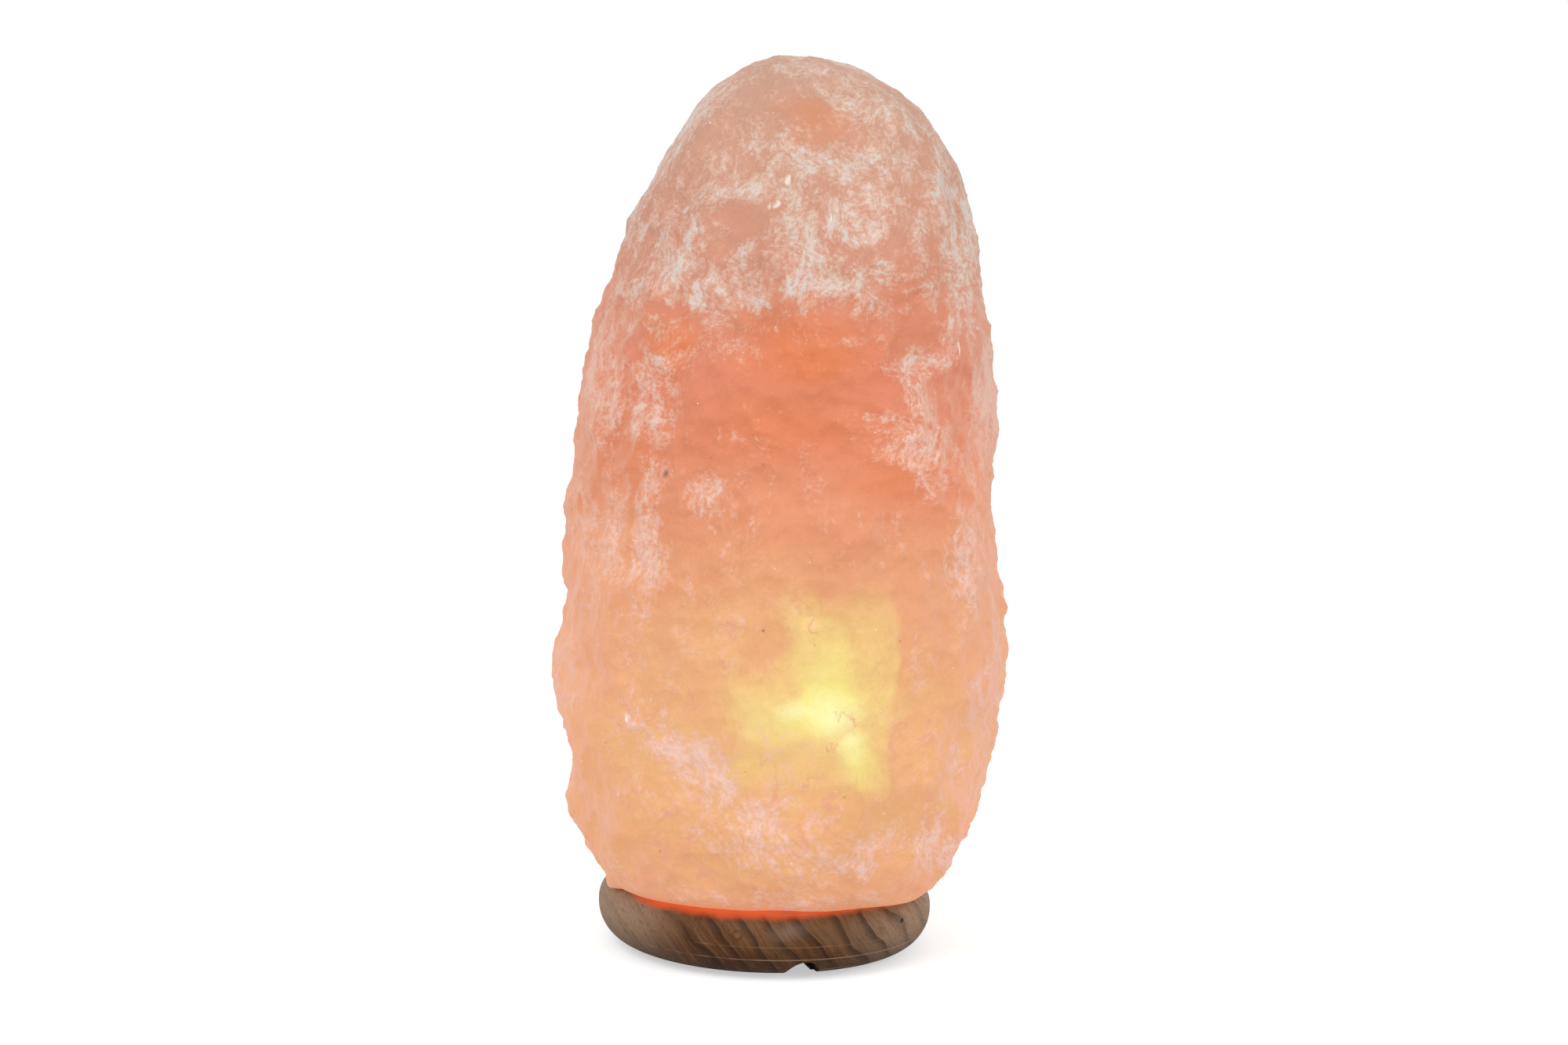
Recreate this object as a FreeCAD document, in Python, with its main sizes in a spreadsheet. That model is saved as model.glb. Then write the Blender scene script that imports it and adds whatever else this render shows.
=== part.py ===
import FreeCAD, Part
import math
import os
import random
import re
import Sketcher

# A rock-salt crystal lamp. A boulder of salt, bored out from below, is screwed to a turned wood disc.
# A clip-in lamp holder with a small screw bulb is pushed up through the disc into the bored cavity.
# Millimetres. +Z is up, the disc's axis is the Z axis, and z = 0 is the table under the felt ring.
# The viewer of the lamp's front looks along +Y, so -Y is the front and +X is on the right.

document = FreeCAD.newDocument("salt_crystal_lamp")

# ---------------------------------------------------------------- driving sizes

WOOD_SIZES = [
    ("felt_thickness", 1.2, "felt ring under the disc"),
    ("felt_inner_radius", 24, "felt ring"),
    ("felt_width", 17.5, "felt ring"),
    ("felt_screw_hole_radius", 4.8, "felt ring, over each screw head"),
    ("base_radius", 60, "wood disc"),
    ("base_thickness", 22.8, "wood disc"),
    ("base_top_round", 8, "rounding of the upper rim"),
    ("base_bottom_round", 13.5, "rounding of the lower rim"),
    ("bore_radius", 21, "hole that the lamp holder is pushed into"),
    ("channel_width", 12.5, "round-bottomed groove for the lead, under the disc"),
    ("channel_depth", 6.2, "round-bottomed groove for the lead, at its deepest"),
    ("channel_angle", 15.7, "degrees from the front towards the right"),
    ("screw_circle", 35, "radius of the circle through the three screws"),
    ("screw_shank_radius", 2, "wood screw"),
    ("screw_head_radius", 4, "wood screw"),
    ("screw_head_height", 2.6, "wood screw"),
    ("screw_head_sink", 7, "depth of the head's seat under the disc"),
    ("screw_length", 36, "from the head's seat to the point"),
    ("screw_point", 3, "length of the tapered point"),
    ("screw_clearance", 0.2, "between a shank or head and the wood"),
    ("drive_width", 1, "cross slot in a screw head"),
    ("drive_depth", 1.4, "cross slot in a screw head"),
    ("plug_radius", 3.4, "plastic plug in the salt"),
    ("plug_length", 22, "plastic plug in the salt"),
    ("plug_clearance", 0.1, "between the plug, its screw and the salt"),
    ("cavity_radius", 26, "bored hollow in the salt"),
    ("cavity_depth", 105, "bored hollow, straight part"),
    ("cavity_point", 12, "bored hollow, cone left by the drill"),
    ("cavity_point_radius", 6.5, "bored hollow, flat end of the cone"),
]

HOLDER_SIZES = [
    ("strap_height", 13.2, "underside of the clip strap above the table"),
    ("strap_thickness", 0.8, "clip strap"),
    ("strap_width", 9, "clip strap and its arms"),
    ("strap_half_length", 14.6, "clip strap"),
    ("strap_eye_radius", 8, "round middle of the clip strap"),
    ("arm_thickness", 0.8, "spring arm"),
    ("arm_gap", 0.2, "between the strap's end and an arm"),
    ("arm_apex_rise", 8.2, "widest point of an arm above the strap's underside"),
    ("arm_tip_rise", 16.8, "end of an arm above the strap's underside"),
    ("arm_tip_reach", 17.6, "end of an arm from the axis"),
    ("arm_wall_gap", 0.3, "between an arm's widest corner and the wood"),
    ("holder_radius", 13.5, "cap and sleeve, outside"),
    ("holder_round", 1.2, "rounding of the outer rims"),
    ("cap_floor", 2.5, "floor of the cap"),
    ("cap_height", 12, "cap, outside"),
    ("cap_inner_radius", 10, "cap, inside"),
    ("spigot_height", 3, "collar of the cap inside the sleeve"),
    ("sleeve_height", 30, "sleeve"),
    ("sleeve_bore_radius", 11.6, "sleeve"),
    ("lip_thickness", 2, "inward lip at the sleeve's mouth"),
    ("mouth_radius", 9, "opening in the lip"),
    ("seat_clearance", 0.1, "between parts that push into each other"),
    ("insert_foot", 3, "thickness of the insulator's foot"),
    ("insert_cup_radius", 10.6, "insulator, outside of its cup"),
    ("contact_room", 3, "hollow under the shell for the contacts"),
    ("contact_room_radius", 7.1, "hollow under the shell for the contacts"),
    ("shell_radius", 7.6, "threaded brass shell, outside"),
    ("shell_length", 18.5, "threaded brass shell"),
    ("nipple_radius", 5, "hollow threaded nipple"),
    ("nipple_bore_radius", 3.6, "way in for the lead"),
    ("nipple_drop", 5.2, "lower end below the underside of the clip strap"),
    ("nipple_length", 12.2, "hollow threaded nipple"),
    ("nut_width", 14, "nut, across its flats"),
    ("nut_height", 3, "nut"),
    ("terminal_width", 5, "square brass terminal"),
    ("terminal_height", 7, "square brass terminal"),
    ("terminal_offset", 5.5, "terminal's middle from the axis"),
    ("terminal_screw_radius", 1.15, "terminal screw, shank"),
    ("terminal_head_radius", 1.9, "terminal screw, head"),
    ("terminal_head_height", 1.5, "terminal screw, head"),
    ("terminal_slot_width", 0.6, "slot in the head"),
    ("terminal_slot_depth", 0.7, "slot in the head"),
    ("wire_hole_radius", 1.2, "cross hole for the lead's core"),
    ("wire_hole_rise", 3.6, "cross hole above the terminal's underside"),
    ("contact_thickness", 0.4, "bronze contact strips"),
    ("contact_width", 3, "bronze contact strips"),
    ("contact_gap", 0.1, "between a strip and what it touches in use"),
    ("riser_offset", 4.7, "centre contact's upright from the axis"),
    ("side_riser_offset", 6.7, "shell contact's upright from the axis"),
    ("tongue_reach", 1.8, "end of the centre contact past the axis"),
    ("tongue_drop", 1.6, "slope of the tongue over its length"),
]

BULB_SIZES = [
    ("tip_rise", 1.3, "solder tip's lowest point above the shell's seat"),
    ("tip_radius", 2.2, "solder tip"),
    ("tip_height", 1.2, "solder tip"),
    ("tip_gap", 0.05, "between the tip and the glass insulator"),
    ("insulator_end_radius", 3, "glass insulator, lower end"),
    ("insulator_height", 2.45, "glass insulator, cone"),
    ("insulator_plug", 2, "glass insulator inside the screw cap"),
    ("screw_cap_inner_radius", 5.5, "bulb's screw cap"),
    ("screw_cap_height", 17, "bulb's screw cap"),
    ("rim_radius", 6.9, "collar at the screw cap's top"),
    ("rim_height", 1.5, "collar at the screw cap's top"),
    ("thread_pitch", 2.822, "nine turns to the inch"),
    ("thread_turns", 4, "turns on the bulb's screw cap"),
    ("thread_core_radius", 6.1, "bulb's thread, root"),
    ("thread_crest_radius", 6.85, "bulb's thread, crest"),
    ("thread_start", 1.2, "first turn above the screw cap's lower edge"),
    ("thread_foot", 1.9, "width of a ridge at its foot"),
    ("thread_crest", 0.5, "width of a ridge at its crest"),
    ("thread_gap", 0.15, "between the two threads' flanks"),
    ("thread_root_gap", 0.25, "between the bulb's root and the shell's crest"),
    ("thread_crest_gap", 0.2, "between the bulb's crest and the shell's root"),
    ("neck_radius", 5.3, "glass envelope's neck"),
    ("neck_rise", 5, "neck's lower end above the screw cap's lower edge"),
    ("glass_wall", 0.6, "glass envelope"),
    ("bulb_radius", 13, "glass envelope"),
    ("bulb_rise", 39, "middle of the round part above the screw cap's lower edge"),
    ("shoulder_radius", 10, "curve between the neck and the round part"),
    ("stem_radius", 4.6, "glass stem, foot"),
    ("stem_foot_height", 2, "glass stem, foot"),
    ("stem_taper_height", 8, "glass stem, taper"),
    ("stem_top_radius", 1.8, "glass stem, pinch"),
    ("stem_height", 15, "glass stem"),
    ("wire_radius", 0.3, "wires that carry the filament"),
    ("wire_foot", 1.2, "wire's foot from the axis"),
    ("wire_spread", 6, "wire's head from the axis"),
    ("wire_gap", 0.1, "between a wire's head and the filament"),
    ("coil_radius", 0.7, "filament coil"),
    ("coil_wire_radius", 0.15, "filament coil"),
    ("coil_pitch", 0.8, "filament coil"),
]

# The boulder, level by level: height above its flat foot, then its reach from the lamp's axis
# to the left, to the front, to the right and to the back.
BOULDER = [
    ("foot", 0, 54, 52, 57, 50),
    ("heel", 8, 61.5, 58, 66, 55),
    ("ankle", 20, 67.5, 62, 72, 59),
    ("shin", 38, 71.5, 65, 76.5, 62),
    ("knee", 55, 74.5, 67, 81.5, 64),
    ("hip", 75, 77.8, 68, 84.2, 65),
    ("belly", 95, 75, 68, 83, 65),
    ("waist", 120, 73.5, 67, 79.5, 64),
    ("ribs", 150, 72.5, 65, 76.5, 62),
    ("chest", 175, 70.5, 63, 76, 60),
    ("shoulder", 200, 65.5, 60, 73.5, 57),
    ("collar", 225, 58.5, 55, 69.5, 53),
    ("nape", 245, 50, 49, 65, 47),
    ("chin", 262, 41, 42, 58.5, 41),
    ("cheek", 275, 34, 34, 50, 34),
    ("brow", 286, 24, 25, 37.5, 25),
    ("crown", 293, 13.5, 15, 24, 15),
    ("summit", 296.5, 5, 6, 10, 6),
]
# How far each corner between two of those directions stands out: 0.71 is an ellipse, 1 is square.
CORNER_SIZES = [
    ("front_left_fullness", 0.75, "share of the two reaches beside it"),
    ("front_right_fullness", 0.79, "share of the two reaches beside it"),
    ("back_right_fullness", 0.76, "share of the two reaches beside it"),
    ("back_left_fullness", 0.74, "share of the two reaches beside it"),
]
LUMP_SIZES = [
    ("lump_height", 3.8, "top of a lump above the hollow beside it, where the boulder is widest"),
]


def boulder_sizes():
    sides = ("rise", "left", "front", "right", "back")
    return [
        (f"{level}_{side}", value, "boulder")
        for level, *values in BOULDER
        for side, value in zip(sides, values)
    ]


SIZES = WOOD_SIZES + HOLDER_SIZES + BULB_SIZES + CORNER_SIZES + LUMP_SIZES + boulder_sizes()
SIZE_NAMES = {name for name, value, note in SIZES}

sheet = document.addObject("Spreadsheet::Sheet", "Sizes")
for row, (name, value, note) in enumerate(SIZES, start=1):
    sheet.set(f"A{row}", name)
    sheet.set(f"B{row}", str(value))
    sheet.set(f"C{row}", note)
    sheet.setAlias(f"B{row}", name)
document.recompute()

# Heights that several pieces share, as formulas of the sizes.
WOOD_TOP = "felt_thickness + base_thickness"
NIPPLE_BOTTOM = "(strap_height - nipple_drop)"
CAP_BOTTOM = "strap_height + strap_thickness"
CAP_INSIDE = f"{CAP_BOTTOM} + cap_floor"
CAP_TOP = f"{CAP_BOTTOM} + cap_height"
INSERT_BOTTOM = f"{CAP_TOP} + spigot_height"
CONTACT_FLOOR = f"{INSERT_BOTTOM} + insert_foot"
SHELL_SEAT = f"{CONTACT_FLOOR} + contact_room"
SLEEVE_TOP = f"{CAP_TOP} + sleeve_height"
LIP_BOTTOM = f"{SLEEVE_TOP} - lip_thickness"
TERMINAL_BOTTOM = f"{INSERT_BOTTOM} - terminal_height"
TIP_BOTTOM = f"{SHELL_SEAT} + tip_rise"
INSULATOR_BOTTOM = f"{TIP_BOTTOM} + tip_height + tip_gap"
SCREW_CAP_BOTTOM = f"{INSULATOR_BOTTOM} + insulator_height"
SCREW_CAP_TOP = f"{SCREW_CAP_BOTTOM} + screw_cap_height"
NECK_BOTTOM = f"{SCREW_CAP_BOTTOM} + neck_rise"
STEM_TOP = f"{NECK_BOTTOM} + stem_height"
BULB_MIDDLE = f"{SCREW_CAP_BOTTOM} + bulb_rise"
SCREW_SEAT = "felt_thickness + screw_head_sink"

UP = FreeCAD.Vector(0, 0, 1)
START_MIDDLE, START_RADIUS = 30, 9  # where an outline's corners stand before they are tied
SCREW_COUNT = 3
FIRST_SCREW_ANGLE = 90
SCREW_ANGLES = [FIRST_SCREW_ANGLE + k * 360 / SCREW_COUNT for k in range(SCREW_COUNT)]


# ---------------------------------------------------------------- helpers


def bound(formula):
    """The formula with each size read from the sheet."""
    return re.sub(
        r"[a-z][a-z_]*",
        lambda word: "Sizes." + word.group() if word.group() in SIZE_NAMES else word.group(),
        formula,
    )


def size(name):
    """One size as a number."""
    return float(sheet.get(name))


def level(formula):
    """A height made of sizes that are added and taken away, as a number."""
    terms = re.findall(r"([+-]?)\s*([a-z_]+)", formula)
    return sum(-size(name) if sign == "-" else size(name) for sign, name in terms)


def tie(thing, prop, formula):
    thing.setExpression(prop, bound(formula))


def origin_plane(body, role):
    return [f for f in body.Origin.OriginFeatures if f.Role == role][0]


def new_sketch(body, name, role="XZ_Plane"):
    sketch = body.newObject("Sketcher::SketchObject", name)
    sketch.AttachmentSupport = [(origin_plane(body, role), "")]
    sketch.MapMode = "FlatFace"
    return sketch


def place_corner(sketch, edge, across, along):
    """Ties the start of an edge to two formulas, measured from the sketch's origin."""
    for kind, axis, formula in (("DistanceX", -2, across), ("DistanceY", -1, along)):
        if formula == "0":
            sketch.addConstraint(Sketcher.Constraint("PointOnObject", edge, 1, axis))
            continue
        index = sketch.addConstraint(Sketcher.Constraint(kind, -1, 1, edge, 1, 1.0))
        tie(sketch, f"Constraints[{index}]", formula)


def outline(body, name, corners, role="XZ_Plane"):
    """A closed outline of straight edges. Each corner is a pair of formulas."""
    sketch = new_sketch(body, name, role)
    count = len(corners)
    turn = 2 * math.pi / count
    middle = FreeCAD.Vector(START_MIDDLE, START_MIDDLE, 0)
    start = [
        middle + FreeCAD.Vector(math.cos(k * turn), math.sin(k * turn), 0) * START_RADIUS
        for k in range(count)
    ]
    for k in range(count):
        sketch.addGeometry(Part.LineSegment(start[k], start[(k + 1) % count]))
    for k in range(count):
        sketch.addConstraint(Sketcher.Constraint("Coincident", k, 2, (k + 1) % count, 1))
    for k, (across, along) in enumerate(corners):
        place_corner(sketch, k, across, along)
    document.recompute()
    return sketch


def new_body(name):
    return document.addObject("PartDesign::Body", name)


def turned(name, corners):
    """A body turned about the Z axis from an outline of (radius, height) formulas."""
    body = new_body(name)
    sketch = outline(body, name + "_outline", corners)
    feature = body.newObject("PartDesign::Revolution", name + "_turning")
    feature.Profile = sketch
    feature.ReferenceAxis = (sketch, ["V_Axis"])
    feature.Angle = 360
    document.recompute()
    return body, sketch, feature


def round_rim(body, sketch, base, corner, radius):
    """Rounds the circular edge that one corner of a turned outline makes."""
    spot = sketch.Geometry[corner].StartPoint
    names = [
        f"Edge{k}"
        for k, edge in enumerate(base.Shape.Edges, start=1)
        if isinstance(edge.Curve, Part.Circle)
        and abs(edge.Curve.Radius - spot.x) < 1e-4
        and abs(edge.Curve.Center.z - spot.y) < 1e-4
    ]
    fillet = body.newObject("PartDesign::Fillet", f"{sketch.Name}_round_{corner}")
    fillet.Base = (base, names)
    tie(fillet, "Radius", radius)
    document.recompute()
    body.Tip = fillet
    return fillet


def drill(body, name, radius, bottom, height, across="0", along="0", tip_radius=None):
    """Cuts an upright round hole, or a cone if it has a second radius."""
    kind = "SubtractiveCylinder" if tip_radius is None else "SubtractiveCone"
    hole = body.newObject("PartDesign::" + kind, name)
    if tip_radius is None:
        tie(hole, "Radius", radius)
    else:
        tie(hole, "Radius1", radius)
        tie(hole, "Radius2", tip_radius)
    tie(hole, "Height", height)
    tie(hole, "AttachmentOffset.Base.x", across)
    tie(hole, "AttachmentOffset.Base.y", along)
    tie(hole, "AttachmentOffset.Base.z", bottom)
    hole.AttachmentSupport = [(origin_plane(body, "XY_Plane"), "")]
    hole.MapMode = "FlatFace"
    document.recompute()
    return hole


def pad_both_ways(body, sketch, name, width):
    """Gives an upright outline its width, half to the front and half to the back."""
    feature = body.newObject("PartDesign::Pad", name)
    feature.Profile = sketch
    feature.SideType = "Symmetric"
    tie(feature, "Length", width)
    document.recompute()
    return feature


def cylinder(name, radius, height, bottom, angle=None, circle="0"):
    """An upright Part cylinder. With an angle in degrees it stands on a circle about the axis."""
    piece = document.addObject("Part::Cylinder", name)
    tie(piece, "Radius", radius)
    tie(piece, "Height", height)
    stand_on_circle(piece, bottom, angle, circle)
    return piece


def stand_on_circle(piece, bottom, angle, circle):
    tie(piece, "Placement.Base.z", bottom)
    if angle is not None:
        tie(piece, "Placement.Base.x", f"({circle}) * cos({angle})")
        tie(piece, "Placement.Base.y", f"({circle}) * sin({angle})")


def cut(name, base, *tools):
    """What is left of base when the tools are taken away."""
    tool = tools[0]
    if len(tools) > 1:
        tool = document.addObject("Part::MultiFuse", name + "_tools")
        tool.Shapes = list(tools)
    piece = document.addObject("Part::Cut", name)
    piece.Base = base
    piece.Tool = tool
    return piece


def group(name, pieces):
    """Like pieces that share a node, each one a separate solid."""
    together = document.addObject("Part::Compound", name)
    together.Links = pieces
    return together


# ---------------------------------------------------------------- wood disc and what fixes it


def make_wood_base():
    body, sketch, disc = turned(
        "wood_base",
        [
            ("bore_radius", "felt_thickness"),
            ("base_radius", "felt_thickness"),
            ("base_radius", WOOD_TOP),
            ("bore_radius", WOOD_TOP),
        ],
    )
    lower = round_rim(body, sketch, disc, 1, "base_bottom_round")
    rounded = round_rim(body, sketch, lower, 2, "base_top_round")
    holes = [
        drill(
            body,
            "screw_head_hole",
            "screw_head_radius + screw_clearance",
            "0",
            SCREW_SEAT,
            *on_circle("screw_circle", FIRST_SCREW_ANGLE),
        ),
        drill(
            body,
            "screw_shank_hole",
            "screw_shank_radius + screw_clearance",
            "0",
            f"{WOOD_TOP} + felt_thickness",
            *on_circle("screw_circle", FIRST_SCREW_ANGLE),
        ),
    ]
    pattern = body.newObject("PartDesign::PolarPattern", "screw_hole_circle")
    pattern.Originals = holes
    pattern.Axis = (origin_plane(body, "Z_Axis"), [""])
    pattern.Angle = 360
    pattern.Occurrences = SCREW_COUNT
    body.Tip = pattern
    document.recompute()
    cut_lead_channel(body, pattern)
    return body


def on_circle(circle, angle):
    return f"{circle} * cos({angle})", f"{circle} * sin({angle})"


def cut_lead_channel(body, base):
    """A round-bottomed groove under the disc, from the bore out through the rim."""
    sketch = new_sketch(body, "channel_outline")
    sketch.AttachmentOffset = FreeCAD.Placement(
        FreeCAD.Vector(), FreeCAD.Rotation(FreeCAD.Vector(0, 1, 0), size("channel_angle"))
    )
    tie(sketch, "AttachmentOffset.Rotation.Angle", "channel_angle")
    half = size("channel_width") / 2
    sketch.addGeometry(Part.Circle(FreeCAD.Vector(), UP, half))
    sketch.addConstraint(Sketcher.Constraint("PointOnObject", 0, 3, -2))
    sketch.addConstraint(Sketcher.Constraint("Radius", 0, half))
    tie(sketch, "Constraints[1]", "channel_width / 2")
    sketch.addConstraint(Sketcher.Constraint("DistanceY", -1, 1, 0, 3, -half))
    tie(sketch, "Constraints[2]", "felt_thickness + channel_depth - channel_width / 2")
    document.recompute()
    before = base.Shape.Volume
    groove = body.newObject("PartDesign::Pocket", "lead_channel")
    groove.Profile = sketch
    groove.SideType = "One side"
    groove.Reversed = True
    tie(groove, "Length", "base_radius + channel_width")
    body.Tip = groove
    document.recompute()
    if not before > groove.Shape.Volume:
        raise ValueError("the lead channel cut nothing")


def make_felt_ring():
    """A flat ring glued under the disc, open over the screws and where the lead comes out."""
    outside = cylinder("felt_outside", "felt_inner_radius + felt_width", "felt_thickness", "0")
    inside = cylinder("felt_inside", "felt_inner_radius", "felt_thickness", "0")
    gap = document.addObject("Part::Box", "felt_gap")
    tie(gap, "Length", "channel_width")
    tie(gap, "Width", "felt_inner_radius + 2 * felt_width")
    tie(gap, "Height", "felt_thickness")
    gap.Placement.Rotation = FreeCAD.Rotation(UP, 180 + size("channel_angle"))
    tie(gap, "Placement.Rotation.Angle", "180 + channel_angle")
    tie(gap, "Placement.Base.x", "channel_width / 2 * cos(channel_angle)")
    tie(gap, "Placement.Base.y", "channel_width / 2 * sin(channel_angle)")
    screw_holes = [
        cylinder(
            f"felt_hole_{k}", "felt_screw_hole_radius", "felt_thickness", "0", angle, "screw_circle"
        )
        for k, angle in enumerate(SCREW_ANGLES)
    ]
    return cut("felt_ring", outside, inside, gap, *screw_holes)


def make_base_screws():
    screws = []
    for k, angle in enumerate(SCREW_ANGLES):
        place = (angle, "screw_circle")
        head_bottom = f"{SCREW_SEAT} - screw_head_height"
        head = cylinder(f"head_{k}", "screw_head_radius", "screw_head_height", head_bottom, *place)
        straight = "screw_length - screw_point"
        shank = cylinder(f"shank_{k}", "screw_shank_radius", straight, SCREW_SEAT, *place)
        point = document.addObject("Part::Cone", f"point_{k}")
        tie(point, "Radius1", "screw_shank_radius")
        tie(point, "Radius2", "screw_shank_radius / 5")
        tie(point, "Height", "screw_point")
        stand_on_circle(point, f"{SCREW_SEAT} + screw_length - screw_point", *place)
        solid = document.addObject("Part::MultiFuse", f"blank_{k}")
        solid.Shapes = [head, shank, point]
        slots = [cross_slot(f"slot_{k}_{way}", head_bottom, angle, way) for way in (0, 1)]
        screws.append(cut(f"base_screw_{k}", solid, *slots))
    return group("base_screws", screws)


def cross_slot(name, head_bottom, angle, way):
    """One arm of the cross that the screwdriver turns."""
    length = "screw_head_radius * 1.2"
    slot = document.addObject("Part::Box", name)
    sizes = (length, "drive_width") if way == 0 else ("drive_width", length)
    tie(slot, "Length", sizes[0])
    tie(slot, "Width", sizes[1])
    tie(slot, "Height", "drive_depth")
    tie(slot, "Placement.Base.x", f"screw_circle * cos({angle}) - ({sizes[0]}) / 2")
    tie(slot, "Placement.Base.y", f"screw_circle * sin({angle}) - ({sizes[1]}) / 2")
    tie(slot, "Placement.Base.z", head_bottom)
    return slot


def make_salt_plugs():
    plugs = []
    for k, angle in enumerate(SCREW_ANGLES):
        place = (angle, "screw_circle")
        outside = cylinder(f"plug_outside_{k}", "plug_radius", "plug_length", WOOD_TOP, *place)
        inside = cylinder(
            f"plug_inside_{k}", "screw_shank_radius + plug_clearance", "plug_length", WOOD_TOP, *place
        )
        plugs.append(cut(f"salt_plug_{k}", outside, inside))
    return group("salt_plugs", plugs)


# ---------------------------------------------------------------- salt boulder


POINTS_PER_SPAN = 3  # points of a ring for each of its eight main ones
HALF_ROUND = 4  # main points from the left one to the right one
LUMP_SEED = 4  # gives the same irregular lumps each time


def smooth_ring(name, foot):
    """A closed curve through the eight main points round the boulder at one level."""
    left, front, right, back = (size(f"{name}_{side}") for side in ("left", "front", "right", "back"))
    full = {corner: size(f"{corner}_fullness") for corner in corners_of_boulder()}
    points = [
        (-left, 0),
        (-left * full["front_left"], -front * full["front_left"]),
        (0, -front),
        (right * full["front_right"], -front * full["front_right"]),
        (right, 0),
        (right * full["back_right"], back * full["back_right"]),
        (0, back),
        (-left * full["back_left"], back * full["back_left"]),
    ]
    height = foot + size(f"{name}_rise")
    curve = Part.BSplineCurve()
    curve.interpolate([FreeCAD.Vector(x, y, height) for x, y in points], PeriodicFlag=True)
    return curve


def boulder_ring(name, foot, lumps):
    """One level's smooth curve with its lumps. The far left and far right points stay put."""
    smooth = smooth_ring(name, foot)
    girth = size(f"{name}_left") + size(f"{name}_right")
    widest = size("hip_left") + size("hip_right")
    calm = min(size(f"{name}_rise") / size("ankle_rise"), 1) * girth / widest
    points = []
    for span, (start, end) in enumerate(zip(smooth.getKnots(), smooth.getKnots()[1:])):
        for step in range(POINTS_PER_SPAN):
            at = smooth.value(start + (end - start) * step / POINTS_PER_SPAN)
            place = span * POINTS_PER_SPAN + step
            swell = size("lump_height") / 2 * calm * lumps.uniform(-1, 1)
            held = place % (HALF_ROUND * POINTS_PER_SPAN) == 0
            outward = FreeCAD.Vector(at.x, at.y, 0).normalize()
            points.append(at + outward * (0 if held else swell))
    curve = Part.BSplineCurve()
    even = [k / len(points) for k in range(len(points) + 1)]
    curve.interpolate(points, PeriodicFlag=True, Parameters=even)
    ring = document.addObject("Part::Feature", name + "_ring")
    ring.Shape = Part.Wire([curve.toShape()])
    return ring


def corners_of_boulder():
    return ("front_left", "front_right", "back_right", "back_left")


def make_salt_crystal():
    foot = level(WOOD_TOP)
    lumps = random.Random(LUMP_SEED)
    boulder = document.addObject("Part::Loft", "boulder")
    boulder.Sections = [boulder_ring(name, foot, lumps) for name, *reaches in BOULDER]
    boulder.Solid = True
    boulder.Ruled = False
    hollow = cylinder("cavity", "cavity_radius", "cavity_depth", WOOD_TOP)
    point = document.addObject("Part::Cone", "cavity_end")
    tie(point, "Radius1", "cavity_radius")
    tie(point, "Radius2", "cavity_point_radius")
    tie(point, "Height", "cavity_point")
    tie(point, "Placement.Base.z", f"{WOOD_TOP} + cavity_depth")
    plug_holes = [
        cylinder(
            f"plug_hole_{k}",
            "plug_radius + plug_clearance",
            "plug_length + plug_clearance",
            WOOD_TOP,
            angle,
            "screw_circle",
        )
        for k, angle in enumerate(SCREW_ANGLES)
    ]
    return cut("salt_crystal", boulder, hollow, point, *plug_holes)


# ---------------------------------------------------------------- clip-in lamp holder


def make_holder_cap():
    body, sketch, feature = turned(
        "holder_cap",
        [
            ("nipple_radius + seat_clearance", CAP_BOTTOM),
            ("holder_radius", CAP_BOTTOM),
            ("holder_radius", CAP_TOP),
            ("sleeve_bore_radius - seat_clearance", CAP_TOP),
            ("sleeve_bore_radius - seat_clearance", INSERT_BOTTOM),
            ("cap_inner_radius", INSERT_BOTTOM),
            ("cap_inner_radius", CAP_INSIDE),
            ("nipple_radius + seat_clearance", CAP_INSIDE),
        ],
    )
    round_rim(body, sketch, feature, 1, "holder_round")
    return body


def make_holder_sleeve():
    body, sketch, feature = turned(
        "holder_sleeve",
        [
            ("sleeve_bore_radius", CAP_TOP),
            ("holder_radius", CAP_TOP),
            ("holder_radius", SLEEVE_TOP),
            ("mouth_radius", SLEEVE_TOP),
            ("mouth_radius", LIP_BOTTOM),
            ("sleeve_bore_radius", LIP_BOTTOM),
        ],
    )
    round_rim(body, sketch, feature, 2, "holder_round")
    return body


def make_holder_insert():
    """The insulator that carries the shell and the contacts: a foot disc with a cup on it."""
    body, sketch, feature = turned(
        "holder_insert",
        [
            ("0", INSERT_BOTTOM),
            ("sleeve_bore_radius - seat_clearance", INSERT_BOTTOM),
            ("sleeve_bore_radius - seat_clearance", CONTACT_FLOOR),
            ("insert_cup_radius", CONTACT_FLOOR),
            ("insert_cup_radius", LIP_BOTTOM),
            ("shell_radius + seat_clearance", LIP_BOTTOM),
            ("shell_radius + seat_clearance", SHELL_SEAT),
            ("contact_room_radius", SHELL_SEAT),
            ("contact_room_radius", CONTACT_FLOOR),
            ("0", CONTACT_FLOOR),
        ],
    )
    slots = (("riser_slot", "-riser_offset"), ("side_riser_slot", "side_riser_offset"))
    for name, offset in slots:
        slot = body.newObject("PartDesign::SubtractiveBox", name)
        tie(slot, "Length", "contact_thickness + 2 * seat_clearance")
        tie(slot, "Width", "contact_width + 2 * seat_clearance")
        tie(slot, "Height", "insert_foot")
        tie(slot, "AttachmentOffset.Base.x", f"{offset} - contact_thickness / 2 - seat_clearance")
        tie(slot, "AttachmentOffset.Base.y", "-contact_width / 2 - seat_clearance")
        tie(slot, "AttachmentOffset.Base.z", INSERT_BOTTOM)
        slot.AttachmentSupport = [(origin_plane(body, "XY_Plane"), "")]
        slot.MapMode = "FlatFace"
        body.Tip = slot
        document.recompute()
    return body


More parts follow.
